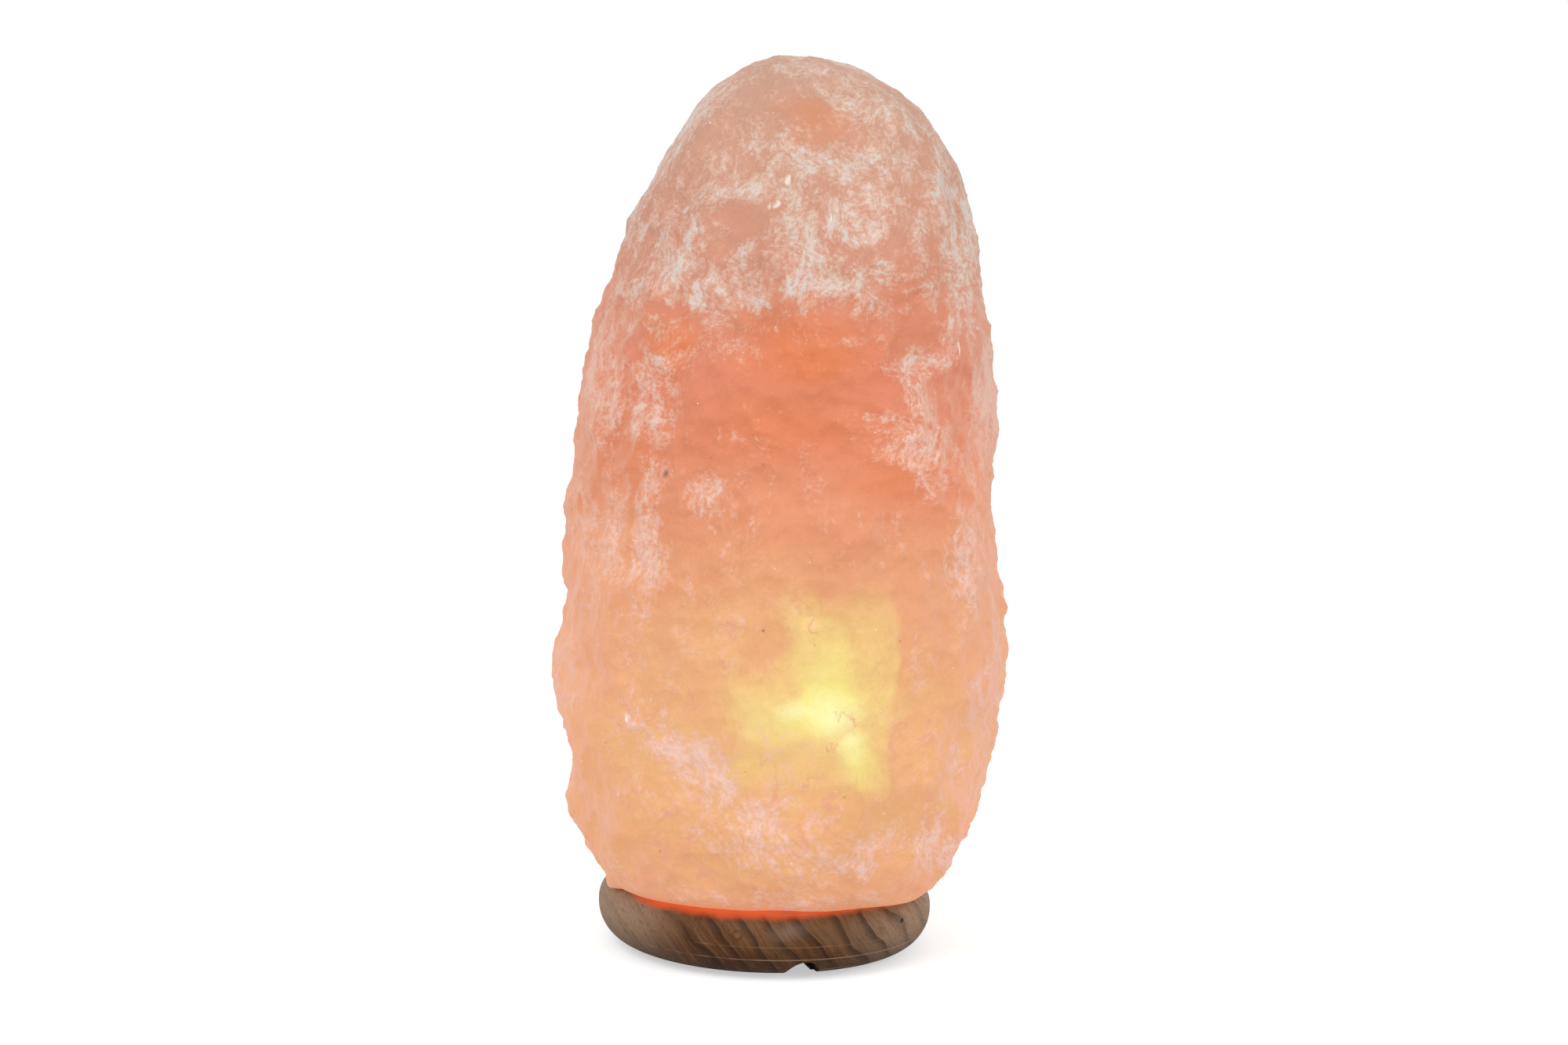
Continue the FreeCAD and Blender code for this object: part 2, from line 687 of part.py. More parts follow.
def thread_outline(body, name, first_turn, crest_radius, root_radius, gap):
    """A ridge's section beside the axis. A gap makes it wider on both flanks, for the mating thread."""
    half_foot = f"(thread_foot / 2 + {gap})"
    half_crest = f"(thread_crest / 2 + {gap})"
    return outline(
        body,
        name,
        [
            (root_radius, f"{first_turn} - {half_foot}"),
            (crest_radius, f"{first_turn} - {half_crest}"),
            (crest_radius, f"{first_turn} + {half_crest}"),
            (root_radius, f"{first_turn} + {half_foot}"),
        ],
    )


FIRST_TURN = f"{SCREW_CAP_BOTTOM} + thread_start + thread_foot / 2"
RIDGE_ROOT = 0.2  # how deep a ridge's section starts inside the wall it stands on
LEAD_IN_TURNS = 3  # turns that the shell's groove starts below the bulb's first turn


def make_screw_shell():
    inner = "thread_core_radius + thread_root_gap"
    body, sketch, tube = turned(
        "screw_shell",
        [
            (inner, SHELL_SEAT),
            ("shell_radius", SHELL_SEAT),
            ("shell_radius", f"{SHELL_SEAT} + shell_length"),
            (inner, f"{SHELL_SEAT} + shell_length"),
        ],
    )
    profile = thread_outline(
        body,
        "shell_thread_outline",
        f"{FIRST_TURN} - {LEAD_IN_TURNS} * thread_pitch",
        "thread_crest_radius + thread_crest_gap",
        f"thread_core_radius + thread_root_gap - {RIDGE_ROOT}",
        "thread_gap",
    )
    groove = body.newObject("PartDesign::SubtractiveHelix", "shell_thread")
    groove.Profile = profile
    groove.ReferenceAxis = (profile, ["V_Axis"])
    groove.Mode = "pitch-height-angle"
    tie(groove, "Pitch", "thread_pitch")
    tie(groove, "Height", f"shell_length + {LEAD_IN_TURNS} * thread_pitch")
    body.Tip = groove
    document.recompute()
    return body


def make_nipple():
    top = f"{NIPPLE_BOTTOM} + nipple_length"
    body, sketch, feature = turned(
        "cord_nipple",
        [
            ("nipple_bore_radius", NIPPLE_BOTTOM),
            ("nipple_radius", NIPPLE_BOTTOM),
            ("nipple_radius", top),
            ("nipple_bore_radius", top),
        ],
    )
    return body


def make_nipple_nuts():
    nuts = []
    for name, bottom in (("outer", "strap_height - nut_height"), ("inner", CAP_INSIDE)):
        prism = document.addObject("Part::Prism", name + "_prism")
        prism.Polygon = 6
        tie(prism, "Circumradius", "nut_width / 2 / cos(30)")
        tie(prism, "Height", "nut_height")
        tie(prism, "Placement.Base.z", bottom)
        hole = cylinder(name + "_hole", "nipple_radius + seat_clearance", "nut_height", bottom)
        nuts.append(cut(name + "_nut", prism, hole))
    return group("nipple_nuts", nuts)


def make_terminal_blocks():
    blocks = []
    for name, side in (("left", "-1"), ("right", "1")):
        block = document.addObject("Part::Box", name + "_block")
        tie(block, "Length", "terminal_width")
        tie(block, "Width", "terminal_width")
        tie(block, "Height", "terminal_height")
        tie(block, "Placement.Base.x", f"{side} * terminal_offset - terminal_width / 2")
        tie(block, "Placement.Base.y", "-terminal_width / 2")
        tie(block, "Placement.Base.z", TERMINAL_BOTTOM)
        screw_hole = cylinder(
            name + "_screw_hole", "terminal_screw_radius + seat_clearance", "wire_hole_rise", TERMINAL_BOTTOM
        )
        tie(screw_hole, "Placement.Base.x", f"{side} * terminal_offset")
        wire_hole = cylinder(
            name + "_wire_hole", "wire_hole_radius", "terminal_width", f"{TERMINAL_BOTTOM} + wire_hole_rise"
        )
        wire_hole.Placement.Rotation = FreeCAD.Rotation(FreeCAD.Vector(1, 0, 0), 90)
        tie(wire_hole, "Placement.Base.x", f"{side} * terminal_offset")
        tie(wire_hole, "Placement.Base.y", "terminal_width / 2")
        blocks.append(cut(name + "_terminal", block, screw_hole, wire_hole))
    return group("terminal_blocks", blocks)


def make_terminal_screws():
    screws = []
    for name, side in (("left", "-1"), ("right", "1")):
        head = cylinder(
            name + "_head",
            "terminal_head_radius",
            "terminal_head_height",
            f"{TERMINAL_BOTTOM} - terminal_head_height",
        )
        shank = cylinder(
            name + "_shank", "terminal_screw_radius", "wire_hole_rise - wire_hole_radius", TERMINAL_BOTTOM
        )
        for piece in (head, shank):
            tie(piece, "Placement.Base.x", f"{side} * terminal_offset")
        blank = document.addObject("Part::MultiFuse", name + "_screw_blank")
        blank.Shapes = [head, shank]
        slot = document.addObject("Part::Box", name + "_screw_slot")
        tie(slot, "Length", "2 * terminal_head_radius")
        tie(slot, "Width", "terminal_slot_width")
        tie(slot, "Height", "terminal_slot_depth")
        tie(slot, "Placement.Base.x", f"{side} * terminal_offset - terminal_head_radius")
        tie(slot, "Placement.Base.y", "-terminal_slot_width / 2")
        tie(slot, "Placement.Base.z", f"{TERMINAL_BOTTOM} - terminal_head_height")
        screws.append(cut(name + "_terminal_screw", blank, slot))
    return group("terminal_screws", screws)


def make_centre_contact():
    """A bronze strip: an upright on the left terminal, then a sloping tongue under the bulb's tip."""
    body = new_body("centre_contact")
    tongue_top = f"{TIP_BOTTOM} - contact_gap"
    bend = f"{tongue_top} - tongue_drop"
    outer = "-riser_offset - contact_thickness / 2"
    inner = "-riser_offset + contact_thickness / 2"
    sketch = outline(
        body,
        "centre_contact_outline",
        [
            (outer, INSERT_BOTTOM),
            (inner, INSERT_BOTTOM),
            (inner, f"{bend} - contact_thickness"),
            ("tongue_reach", f"{tongue_top} - contact_thickness"),
            ("tongue_reach", tongue_top),
            (outer, bend),
        ],
    )
    pad_both_ways(body, sketch, "centre_contact_strip", "contact_width")
    return body


def make_shell_contact():
    """A bronze strip from the right terminal up to the shell's lower edge."""
    body = new_body("shell_contact")
    inner = "side_riser_offset - contact_thickness / 2"
    outer = "side_riser_offset + contact_thickness / 2"
    top = f"{SHELL_SEAT} - contact_gap / 2"
    sketch = outline(
        body,
        "shell_contact_outline",
        [(inner, INSERT_BOTTOM), (outer, INSERT_BOTTOM), (outer, top), (inner, top)],
    )
    pad_both_ways(body, sketch, "shell_contact_strip", "contact_width")
    return body


def make_clip_strap():
    body = new_body("clip_strap")
    top = "strap_height + strap_thickness"
    reach = "strap_half_length"
    sketch = outline(
        body,
        "clip_strap_outline",
        [(f"-{reach}", "strap_height"), (reach, "strap_height"), (reach, top), (f"-{reach}", top)],
    )
    pad_both_ways(body, sketch, "clip_strap_plate", "strap_width")
    eye = body.newObject("PartDesign::AdditiveCylinder", "clip_strap_eye")
    tie(eye, "Radius", "strap_eye_radius")
    tie(eye, "Height", "strap_thickness")
    tie(eye, "AttachmentOffset.Base.z", "strap_height")
    eye.AttachmentSupport = [(origin_plane(body, "XY_Plane"), "")]
    eye.MapMode = "FlatFace"
    body.Tip = eye
    document.recompute()
    hole = drill(body, "nipple_hole", "nipple_radius + seat_clearance", "0", f"{top} + strap_height")
    body.Tip = hole
    return body


def make_clip_arm(side):
    """A spring arm: up and out to its widest point on the wood, then back in to its end."""
    sign = "-" if side == "left" else ""
    body = new_body(f"clip_arm_{side}")
    root = "strap_half_length + arm_gap"
    corner = "sqrt((bore_radius - arm_wall_gap)^2 - (strap_width / 2)^2)"
    heights = ("strap_height", "strap_height + arm_apex_rise", "strap_height + arm_tip_rise")
    outer = (f"{root} + arm_thickness", corner, "arm_tip_reach + arm_thickness / 2")
    inner = (root, f"{corner} - arm_thickness", "arm_tip_reach - arm_thickness / 2")
    way_up = list(zip(outer, heights))
    way_down = list(zip(inner, heights))[::-1]
    corners = [(f"{sign}({across})", along) for across, along in way_up + way_down]
    sketch = outline(body, f"clip_arm_{side}_outline", corners)
    pad_both_ways(body, sketch, f"clip_arm_{side}_strip", "strap_width")
    return body


# ---------------------------------------------------------------- bulb


def make_bulb_tip():
    body, sketch, feature = turned(
        "bulb_tip",
        [
            ("0", TIP_BOTTOM),
            ("tip_radius * 0.6", TIP_BOTTOM),
            ("tip_radius", f"{TIP_BOTTOM} + tip_height"),
            ("0", f"{TIP_BOTTOM} + tip_height"),
        ],
    )
    round_rim(body, sketch, feature, 1, "tip_height / 2")
    return body


def make_bulb_insulator():
    plug = "screw_cap_inner_radius - seat_clearance"
    body, sketch, feature = turned(
        "bulb_insulator",
        [
            ("0", INSULATOR_BOTTOM),
            ("insulator_end_radius", INSULATOR_BOTTOM),
            (plug, SCREW_CAP_BOTTOM),
            (plug, f"{SCREW_CAP_BOTTOM} + insulator_plug"),
            ("0", f"{SCREW_CAP_BOTTOM} + insulator_plug"),
        ],
    )
    return body


def make_bulb_screw_cap():
    rim_bottom = f"{SCREW_CAP_TOP} - rim_height"
    body, sketch, tube = turned(
        "bulb_screw_cap",
        [
            ("screw_cap_inner_radius", SCREW_CAP_BOTTOM),
            ("thread_core_radius", SCREW_CAP_BOTTOM),
            ("thread_core_radius", rim_bottom),
            ("rim_radius", f"{rim_bottom} + rim_height / 3"),
            ("rim_radius", SCREW_CAP_TOP),
            ("screw_cap_inner_radius", SCREW_CAP_TOP),
        ],
    )
    profile = thread_outline(
        body,
        "bulb_thread_outline",
        FIRST_TURN,
        "thread_crest_radius",
        f"thread_core_radius - {RIDGE_ROOT}",
        "0",
    )
    ridge = body.newObject("PartDesign::AdditiveHelix", "bulb_thread")
    ridge.Profile = profile
    ridge.ReferenceAxis = (profile, ["V_Axis"])
    ridge.Mode = "pitch-turns-angle"
    tie(ridge, "Pitch", "thread_pitch")
    tie(ridge, "Turns", "thread_turns")
    body.Tip = ridge
    document.recompute()
    return body


def pear_solid(inset):
    """A pear turned about the axis: a neck, a hollow shoulder and a round end. An inset makes it smaller."""
    neck = size("neck_radius") - inset
    ball = size("bulb_radius") - inset
    shoulder = size("shoulder_radius") + inset
    middle = level(BULB_MIDDLE)
    bottom = level(NECK_BOTTOM)
    shoulder_out = neck + shoulder
    shoulder_up = middle - math.sqrt((ball + shoulder) ** 2 - shoulder_out**2)
    share = ball / (ball + shoulder)
    meet = FreeCAD.Vector(shoulder_out * share, 0, middle - (middle - shoulder_up) * share)
    halfway = (math.pi + math.atan2(meet.z - shoulder_up, meet.x - shoulder_out)) / 2
    on_shoulder = FreeCAD.Vector(
        shoulder_out + shoulder * math.cos(halfway), 0, shoulder_up + shoulder * math.sin(halfway)
    )
    points = {
        "foot": FreeCAD.Vector(0, 0, bottom),
        "neck": FreeCAD.Vector(neck, 0, bottom),
        "throat": FreeCAD.Vector(neck, 0, shoulder_up),
        "widest": FreeCAD.Vector(ball, 0, middle),
        "top": FreeCAD.Vector(0, 0, middle + ball),
    }
    edges = [
        Part.LineSegment(points["foot"], points["neck"]).toShape(),
        Part.LineSegment(points["neck"], points["throat"]).toShape(),
        Part.Arc(points["throat"], on_shoulder, meet).toShape(),
        Part.Arc(meet, points["widest"], points["top"]).toShape(),
        Part.LineSegment(points["top"], points["foot"]).toShape(),
    ]
    return Part.Face(Part.Wire(edges)).revolve(FreeCAD.Vector(), UP, 360)


def make_bulb_glass():
    glass = document.addObject("Part::Feature", "bulb_glass")
    glass.Shape = pear_solid(0).cut(pear_solid(size("glass_wall")))
    return glass


def make_bulb_stem():
    taper_top = f"{NECK_BOTTOM} + stem_foot_height + stem_taper_height"
    body, sketch, feature = turned(
        "bulb_stem",
        [
            ("0", NECK_BOTTOM),
            ("stem_radius", NECK_BOTTOM),
            ("stem_radius", f"{NECK_BOTTOM} + stem_foot_height"),
            ("stem_top_radius", taper_top),
            ("stem_top_radius", STEM_TOP),
            ("0", STEM_TOP),
        ],
    )
    return body


def make_lead_wires():
    """Two wires that spread from the stem's top to the ends of the filament."""
    wires = []
    foot_height = level(STEM_TOP)
    head_height = level(BULB_MIDDLE) - size("coil_radius") - size("coil_wire_radius") - size("wire_gap")
    for side in (-1, 1):
        foot = FreeCAD.Vector(side * size("wire_foot"), 0, foot_height)
        head = FreeCAD.Vector(side * size("wire_spread"), 0, head_height)
        along = head - foot
        round_wire = Part.makeCylinder(size("wire_radius"), along.Length, foot, along)
        reach = along.Length
        room = Part.makeBox(2 * reach, 2 * reach, reach, FreeCAD.Vector(-reach, -reach, foot_height))
        wires.append(round_wire.common(room))
    pair = document.addObject("Part::Feature", "lead_wires")
    pair.Shape = Part.makeCompound(wires)
    return pair


def make_filament():
    """A coil lying along X between the heads of the two wires."""
    coil = document.addObject("Part::Helix", "coil_line")
    tie(coil, "Pitch", "coil_pitch")
    tie(coil, "Radius", "coil_radius")
    tie(coil, "Height", "2 * wire_spread")
    section = document.addObject("Part::Circle", "coil_section")
    tie(section, "Radius", "coil_wire_radius")
    section.Placement.Rotation = FreeCAD.Rotation(FreeCAD.Vector(1, 0, 0), 90)
    tie(section, "Placement.Base.x", "coil_radius")
    sweep = document.addObject("Part::Sweep", "filament")
    sweep.Sections = [section]
    sweep.Spine = (coil, ["Edge1"])
    sweep.Solid = True
    sweep.Frenet = True
    sweep.Placement.Rotation = FreeCAD.Rotation(FreeCAD.Vector(0, 1, 0), 90)
    tie(sweep, "Placement.Base.x", "-wire_spread")
    tie(sweep, "Placement.Base.z", BULB_MIDDLE)
    return sweep


# ---------------------------------------------------------------- build, test and write

NODES = [
    make_wood_base(),
    make_salt_crystal(),
    make_base_screws(),
    make_salt_plugs(),
    make_felt_ring(),
    make_holder_cap(),
    make_holder_sleeve(),
    make_holder_insert(),
    make_screw_shell(),
    make_nipple(),
    make_nipple_nuts(),
    make_terminal_blocks(),
    make_terminal_screws(),
    make_centre_contact(),
    make_shell_contact(),
    make_clip_strap(),
    make_clip_arm("left"),
    make_clip_arm("right"),
    make_bulb_tip(),
    make_bulb_insulator(),
    make_bulb_screw_cap(),
    make_bulb_glass(),
    make_bulb_stem(),
    make_lead_wires(),
    make_filament(),
]
document.recompute()

failed = [o.Name for o in document.Objects if {"Invalid", "Error"} & set(o.State)]
if failed:
    raise ValueError(f"these objects failed: {failed}")

os.makedirs("parts", exist_ok=True)
for node in NODES:
    shape = node.Shape
    if shape.isNull() or not shape.isValid() or not shape.Solids:
        raise ValueError(f"{node.Label} has no sound solid")
    shape.exportStep(f"parts/{node.Label}.step")
    print(f"{node.Label}: {len(shape.Solids)} solid(s), {shape.Volume:.1f} mm3")
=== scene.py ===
import bpy
import math
from mathutils import Matrix, Vector
from types import SimpleNamespace


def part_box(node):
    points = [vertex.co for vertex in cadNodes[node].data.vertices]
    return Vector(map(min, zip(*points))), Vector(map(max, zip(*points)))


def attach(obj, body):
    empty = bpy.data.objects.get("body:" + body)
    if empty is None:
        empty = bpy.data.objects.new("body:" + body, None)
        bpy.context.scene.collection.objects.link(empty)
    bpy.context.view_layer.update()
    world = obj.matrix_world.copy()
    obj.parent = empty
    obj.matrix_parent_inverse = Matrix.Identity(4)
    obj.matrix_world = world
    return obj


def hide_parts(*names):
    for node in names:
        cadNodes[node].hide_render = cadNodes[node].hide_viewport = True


# Salt crystal lamp. Metres. The front, as photographed, is -Y.
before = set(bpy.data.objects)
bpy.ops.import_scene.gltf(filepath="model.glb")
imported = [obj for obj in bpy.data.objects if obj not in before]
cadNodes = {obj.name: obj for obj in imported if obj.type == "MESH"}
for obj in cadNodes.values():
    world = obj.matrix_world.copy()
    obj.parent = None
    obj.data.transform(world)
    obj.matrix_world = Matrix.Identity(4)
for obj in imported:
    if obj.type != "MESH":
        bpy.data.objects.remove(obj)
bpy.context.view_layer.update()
scene = bpy.context.scene
print("frame loaded:", len(cadNodes), "nodes")


# small tools for operators

def selectOnly(*objects):
    bpy.ops.object.select_all(action="DESELECT")
    for item in objects:
        item.select_set(True)
    bpy.context.view_layer.objects.active = objects[0]


def applyModifier(piece, modifier):
    selectOnly(piece)
    bpy.ops.object.modifier_apply(modifier=modifier.name)


def dress(nodeName, material):
    mesh = cadNodes[nodeName].data
    mesh.materials.clear()
    mesh.materials.append(material)


# small tools for shader nodes: a value is a socket, a number or a colour

def feed(tree, socket, value):
    if isinstance(value, bpy.types.NodeSocket):
        tree.links.new(value, socket)
    else:
        socket.default_value = value


def newSurface(name):
    material = bpy.data.materials.new(name)
    material.use_nodes = True
    tree = material.node_tree
    tree.nodes.clear()
    shader = tree.nodes.new("ShaderNodeBsdfPrincipled")
    output = tree.nodes.new("ShaderNodeOutputMaterial")
    tree.links.new(shader.outputs["BSDF"], output.inputs["Surface"])
    place = tree.nodes.new("ShaderNodeTexCoord").outputs["Object"]
    return material, tree, shader, place


def calc(tree, operation, *values, clamp=False):
    node = tree.nodes.new("ShaderNodeMath")
    node.operation = operation
    node.use_clamp = clamp
    for socket, value in zip(node.inputs, values):
        feed(tree, socket, value)
    return node.outputs[0]


def vectorCalc(tree, operation, *values):
    node = tree.nodes.new("ShaderNodeVectorMath")
    node.operation = operation
    for socket, value in zip(node.inputs, values):
        feed(tree, socket, value)
    return node.outputs["Value" if operation in ("LENGTH", "DISTANCE", "DOT_PRODUCT") else "Vector"]


def fade(tree, value, low, high, start=0.0, end=1.0):
    node = tree.nodes.new("ShaderNodeMapRange")
    node.interpolation_type = "SMOOTHSTEP"
    names = ("Value", "From Min", "From Max", "To Min", "To Max")
    for name, number in zip(names, (value, low, high, start, end)):
        feed(tree, node.inputs[name], number)
    return node.outputs["Result"]


def blend(tree, share, first, second, kind="MIX"):
    node = tree.nodes.new("ShaderNodeMix")
    node.data_type = "RGBA"
    node.blend_type = kind
    node.clamp_factor = True
    feed(tree, node.inputs[0], share)
    feed(tree, node.inputs[6], first)
    feed(tree, node.inputs[7], second)
    return node.outputs[2]


def stretched(tree, place, scale, turn=(0, 0, 0)):
    node = tree.nodes.new("ShaderNodeMapping")
    feed(tree, node.inputs["Vector"], place)
    node.inputs["Scale"].default_value = scale
    node.inputs["Rotation"].default_value = turn
    return node.outputs["Vector"]


def leaned(tree, place, tilt, scale):
    # stretched along a line that leans by tilt degrees to the right of upright, seen from the front
    turned = stretched(tree, place, (1, 1, 1), (0, math.radians(-tilt), 0))
    return stretched(tree, turned, scale)


def cloud(tree, place, size, detail=3.0, roughness=0.55, twist=0.0, colour=False):
    node = tree.nodes.new("ShaderNodeTexNoise")
    feed(tree, node.inputs["Vector"], place)
    node.inputs["Scale"].default_value = 1 / size
    node.inputs["Detail"].default_value = detail
    node.inputs["Roughness"].default_value = roughness
    node.inputs["Distortion"].default_value = twist
    return node.outputs["Color" if colour else "Fac"]


def cells(tree, place, size):
    # distance to the middle of the nearest cell
    node = tree.nodes.new("ShaderNodeTexVoronoi")
    feed(tree, node.inputs["Vector"], place)
    node.inputs["Scale"].default_value = 1 / size
    return node.outputs["Distance"]


def shades(tree, value, stops):
    node = tree.nodes.new("ShaderNodeValToRGB")
    ramp = node.color_ramp.elements
    while len(ramp) < len(stops):
        ramp.new(0.5)
    for stop, (at, colour) in zip(ramp, stops):
        stop.position = at
        stop.color = (*colour, 1)
    feed(tree, node.inputs["Fac"], value)
    return node.outputs["Color"]


def wander(tree, place, size, reach, detail=2.0):
    shift = vectorCalc(tree, "SUBTRACT", cloud(tree, place, size, detail, colour=True), (0.5, 0.5, 0.5))
    scaled = vectorCalc(tree, "MULTIPLY", shift, (reach, reach, reach))
    return vectorCalc(tree, "ADD", place, scaled)


def patch(tree, place, x, z, reachX, reachZ, tilt=0.0, core=0.0):
    # 1 at the middle of an oval seen from the front, 0 outside it; sizes in millimetres, tilt in degrees
    node = tree.nodes.new("ShaderNodeMapping")
    node.vector_type = "TEXTURE"
    feed(tree, node.inputs["Vector"], place)
    node.inputs["Location"].default_value = (x / 1000, 0, z / 1000)
    node.inputs["Rotation"].default_value = (0, math.radians(tilt), 0)
    node.inputs["Scale"].default_value = (reachX / 1000, 10, reachZ / 1000)
    return fade(tree, vectorCalc(tree, "LENGTH", node.outputs["Vector"]), 1.0, core)


def patches(tree, place, ovals, core=0.0):
    total = None
    for oval in ovals:
        one = patch(tree, place, *oval["at"], *oval["reach"], oval["tilt"], core)
        one = calc(tree, "MULTIPLY", one, oval["strength"])
        total = one if total is None else calc(tree, "MAXIMUM", total, one)
    return total


def bumpUp(tree, shader, height, distance, strength):
    node = tree.nodes.new("ShaderNodeBump")
    feed(tree, node.inputs["Strength"], strength)
    node.inputs["Distance"].default_value = distance
    feed(tree, node.inputs["Height"], height)
    tree.links.new(node.outputs["Normal"], shader.inputs["Normal"])


# salt boulder: shape

saltShape = {
    "voxel": 0.00125,
    "creaseAngle": 45,           # degrees, sharper edges stay crisp
    "footHeight": 0.0240,        # flat foot on the disc
    "footRise": 0.0060,          # the roughness grows from nothing over this height
    "hollowRadius": 0.0300,      # the drilled hollow stays smooth, with a little round it
    "hollowTop": 0.1450,
    "calmFrom": 0.245,           # the summit is worn rounder than the flanks
    "calmTo": 0.290,
    "calmShare": 0.55,
    "lumps": {"size": 0.026, "height": 0.0014, "middle": 0.55},
    "scoops": {"size": 0.0170, "height": 0.0026, "middle": 0.42},
    "grooves": {"size": 0.0060, "height": 0.0012, "middle": 0.5, "stretch": 5.0},
    "chips": {"size": 0.0080, "height": 0.0021, "middle": 0.42},
    "grit": {"size": 0.0030, "height": 0.0012, "middle": 0.5},
}

# lumps seen in outline: place, push, reach, in millimetres
saltKnobs = (
    {"at": (-75, -14, 163), "push": (-2.4, 0, 0), "reach": 9},
    {"at": (82, -10, 128), "push": (2.0, -0.5, 0), "reach": 8},
    {"at": (84, -10, 112), "push": (1.8, -0.5, 0), "reach": 7},
    {"at": (-52, -20, 27), "push": (-2.4, -3.0, -2.0), "reach": 6},
    {"at": (-80, -6, 78), "push": (2.0, 0, 0), "reach": 10},
    {"at": (36, -45, 26), "push": (-1.5, 4.0, 0), "reach": 24},
    {"at": (10, -54, 25), "push": (0, 2.4, 0), "reach": 18},
)


def looseCopy(nodeName, name):
    source = cadNodes[nodeName]
    piece = bpy.data.objects.new(name, source.data.copy())
    scene.collection.objects.link(piece)
    selectOnly(piece)
    bpy.ops.object.mode_set(mode="EDIT")
    bpy.ops.mesh.select_all(action="SELECT")
    bpy.ops.mesh.remove_doubles(threshold=0.00001)
    bpy.ops.object.mode_set(mode="OBJECT")
    return piece


def cloudTexture(name, size):
    texture = bpy.data.textures.new(name, "CLOUDS")
    texture.noise_scale = size
    texture.noise_depth = 2
    return texture


def bowlTexture(name, size):
    texture = bpy.data.textures.new(name, "VORONOI")
    texture.noise_scale = size
    texture.distance_metric = "DISTANCE_SQUARED"
    return texture


def roughen(piece, texture, values):
    modifier = piece.modifiers.new(texture.name, "DISPLACE")
    modifier.texture = texture
    guide = None
    if "stretch" in values:
        guide = bpy.data.objects.new(texture.name + "Guide", None)
        scene.collection.objects.link(guide)
        guide.scale = (1, 1, values["stretch"])
        bpy.context.view_layer.update()
        modifier.texture_coords = "OBJECT"
        modifier.texture_coords_object = guide
    else:
        modifier.texture_coords = "LOCAL"
    modifier.strength = values["height"]
    modifier.mid_level = values["middle"]
    modifier.vertex_group = "rough"
    applyModifier(piece, modifier)
    if guide:
        bpy.data.objects.remove(guide)


def markRough(piece):
    shape = saltShape
    rough = piece.vertex_groups.new(name="rough")
    for vertex in piece.data.vertices:
        x, y, z = vertex.co
        inHollow = math.hypot(x, y) < shape["hollowRadius"] and z < shape["hollowTop"]
        rise = (z - shape["footHeight"]) / shape["footRise"]
        summit = min(max((z - shape["calmFrom"]) / (shape["calmTo"] - shape["calmFrom"]), 0.0), 1.0)
        weight = min(max(rise, 0.0), 1.0) * (1 - summit * (1 - shape["calmShare"]))
        rough.add([vertex.index], 0.0 if inHollow else weight, "REPLACE")


def pushKnob(piece, knob):
    at = Vector(knob["at"]) / 1000
    reach = knob["reach"] / 1000
    for vertex in piece.data.vertices:
        distance = (vertex.co - at).length
        if distance < reach:
            share = 1 - (distance / reach) ** 2
            vertex.co += Vector(knob["push"]) / 1000 * share * share


def carveSalt():
    boulder = looseCopy("salt_crystal", "saltBoulder")
    remesh = boulder.modifiers.new("voxels", "REMESH")
    remesh.mode = "VOXEL"
    remesh.voxel_size = saltShape["voxel"]
    applyModifier(boulder, remesh)
    even = boulder.modifiers.new("even", "SMOOTH")
    even.iterations = 2
    applyModifier(boulder, even)
    markRough(boulder)
    for name, makeTexture in (("lumps", cloudTexture), ("scoops", bowlTexture), ("grooves", cloudTexture),
                              ("chips", bowlTexture), ("grit", cloudTexture)):
        roughen(boulder, makeTexture(name, saltShape[name]["size"]), saltShape[name])
    for knob in saltKnobs:
        pushKnob(boulder, knob)
    low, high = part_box("salt_crystal")
    for vertex in boulder.data.vertices:
        vertex.co = [min(max(at, least), most) for at, least, most in zip(vertex.co, low, high)]
    selectOnly(boulder)
    bpy.ops.object.shade_smooth_by_angle(angle=math.radians(saltShape["creaseAngle"]))
    boulder.data.color_attributes.new(name="edgeWear", type="FLOAT_COLOR", domain="POINT")
    bpy.ops.object.mode_set(mode="VERTEX_PAINT")
    bpy.ops.paint.vertex_color_dirt(blur_strength=1.0, blur_iterations=1, dirt_angle=0, clean_angle=math.pi)
    bpy.ops.object.mode_set(mode="OBJECT")
    print("salt boulder:", len(boulder.data.polygons), "faces")
    return boulder


# salt boulder: material

saltColours = {
    "mistHigh": (0.77, 0.51, 0.39),
    "mistLow": (0.88, 0.50, 0.385),
    "frostHigh": (0.74, 0.655, 0.60),
    "frostLow": (0.89, 0.64, 0.54),
    "ember": (0.765, 0.205, 0.068),
    "amber": (0.88, 0.55, 0.20),
    "sunny": (0.97, 0.85, 0.24),
    "flankGlow": (0.86, 0.42, 0.28),
    "vein": (0.80, 0.36, 0.22),
    "speck": (0.22, 0.075, 0.04),
    "grain": (0.45, 0.13, 0.06),
    "hot": (1.0, 0.98, 0.50),
    "glint": (1.0, 0.93, 0.84),
}

# the bulb's light inside the salt, in metres
saltLight = {
    "bulb": (0.006, 0, 0.090),
    "haloNear": 0.060,
    "haloFar": 0.112,
    "facetSlope": 0.565,         # the bright facet's upper left edge
    "facetStart": 0.069,
    "backSpot": (-0.012, 0.068, 0.095),
    "hollowRadius": (0.0275, 0.0266),
    "hollowTop": (0.144, 0.142),
}

# colour of clear salt by height above the table, in millimetres
saltLayers = (
    (24, (0.83, 0.37, 0.205)),
    (45, (0.83, 0.362, 0.172)),
    (95, (0.84, 0.362, 0.186)),
    (150, (0.81, 0.33, 0.155)),
    (185, (0.78, 0.255, 0.125)),
    (215, (0.74, 0.235, 0.135)),
    (245, (0.66, 0.27, 0.17)),
    (285, (0.64, 0.31, 0.20)),
    (320, (0.62, 0.34, 0.23)),
)

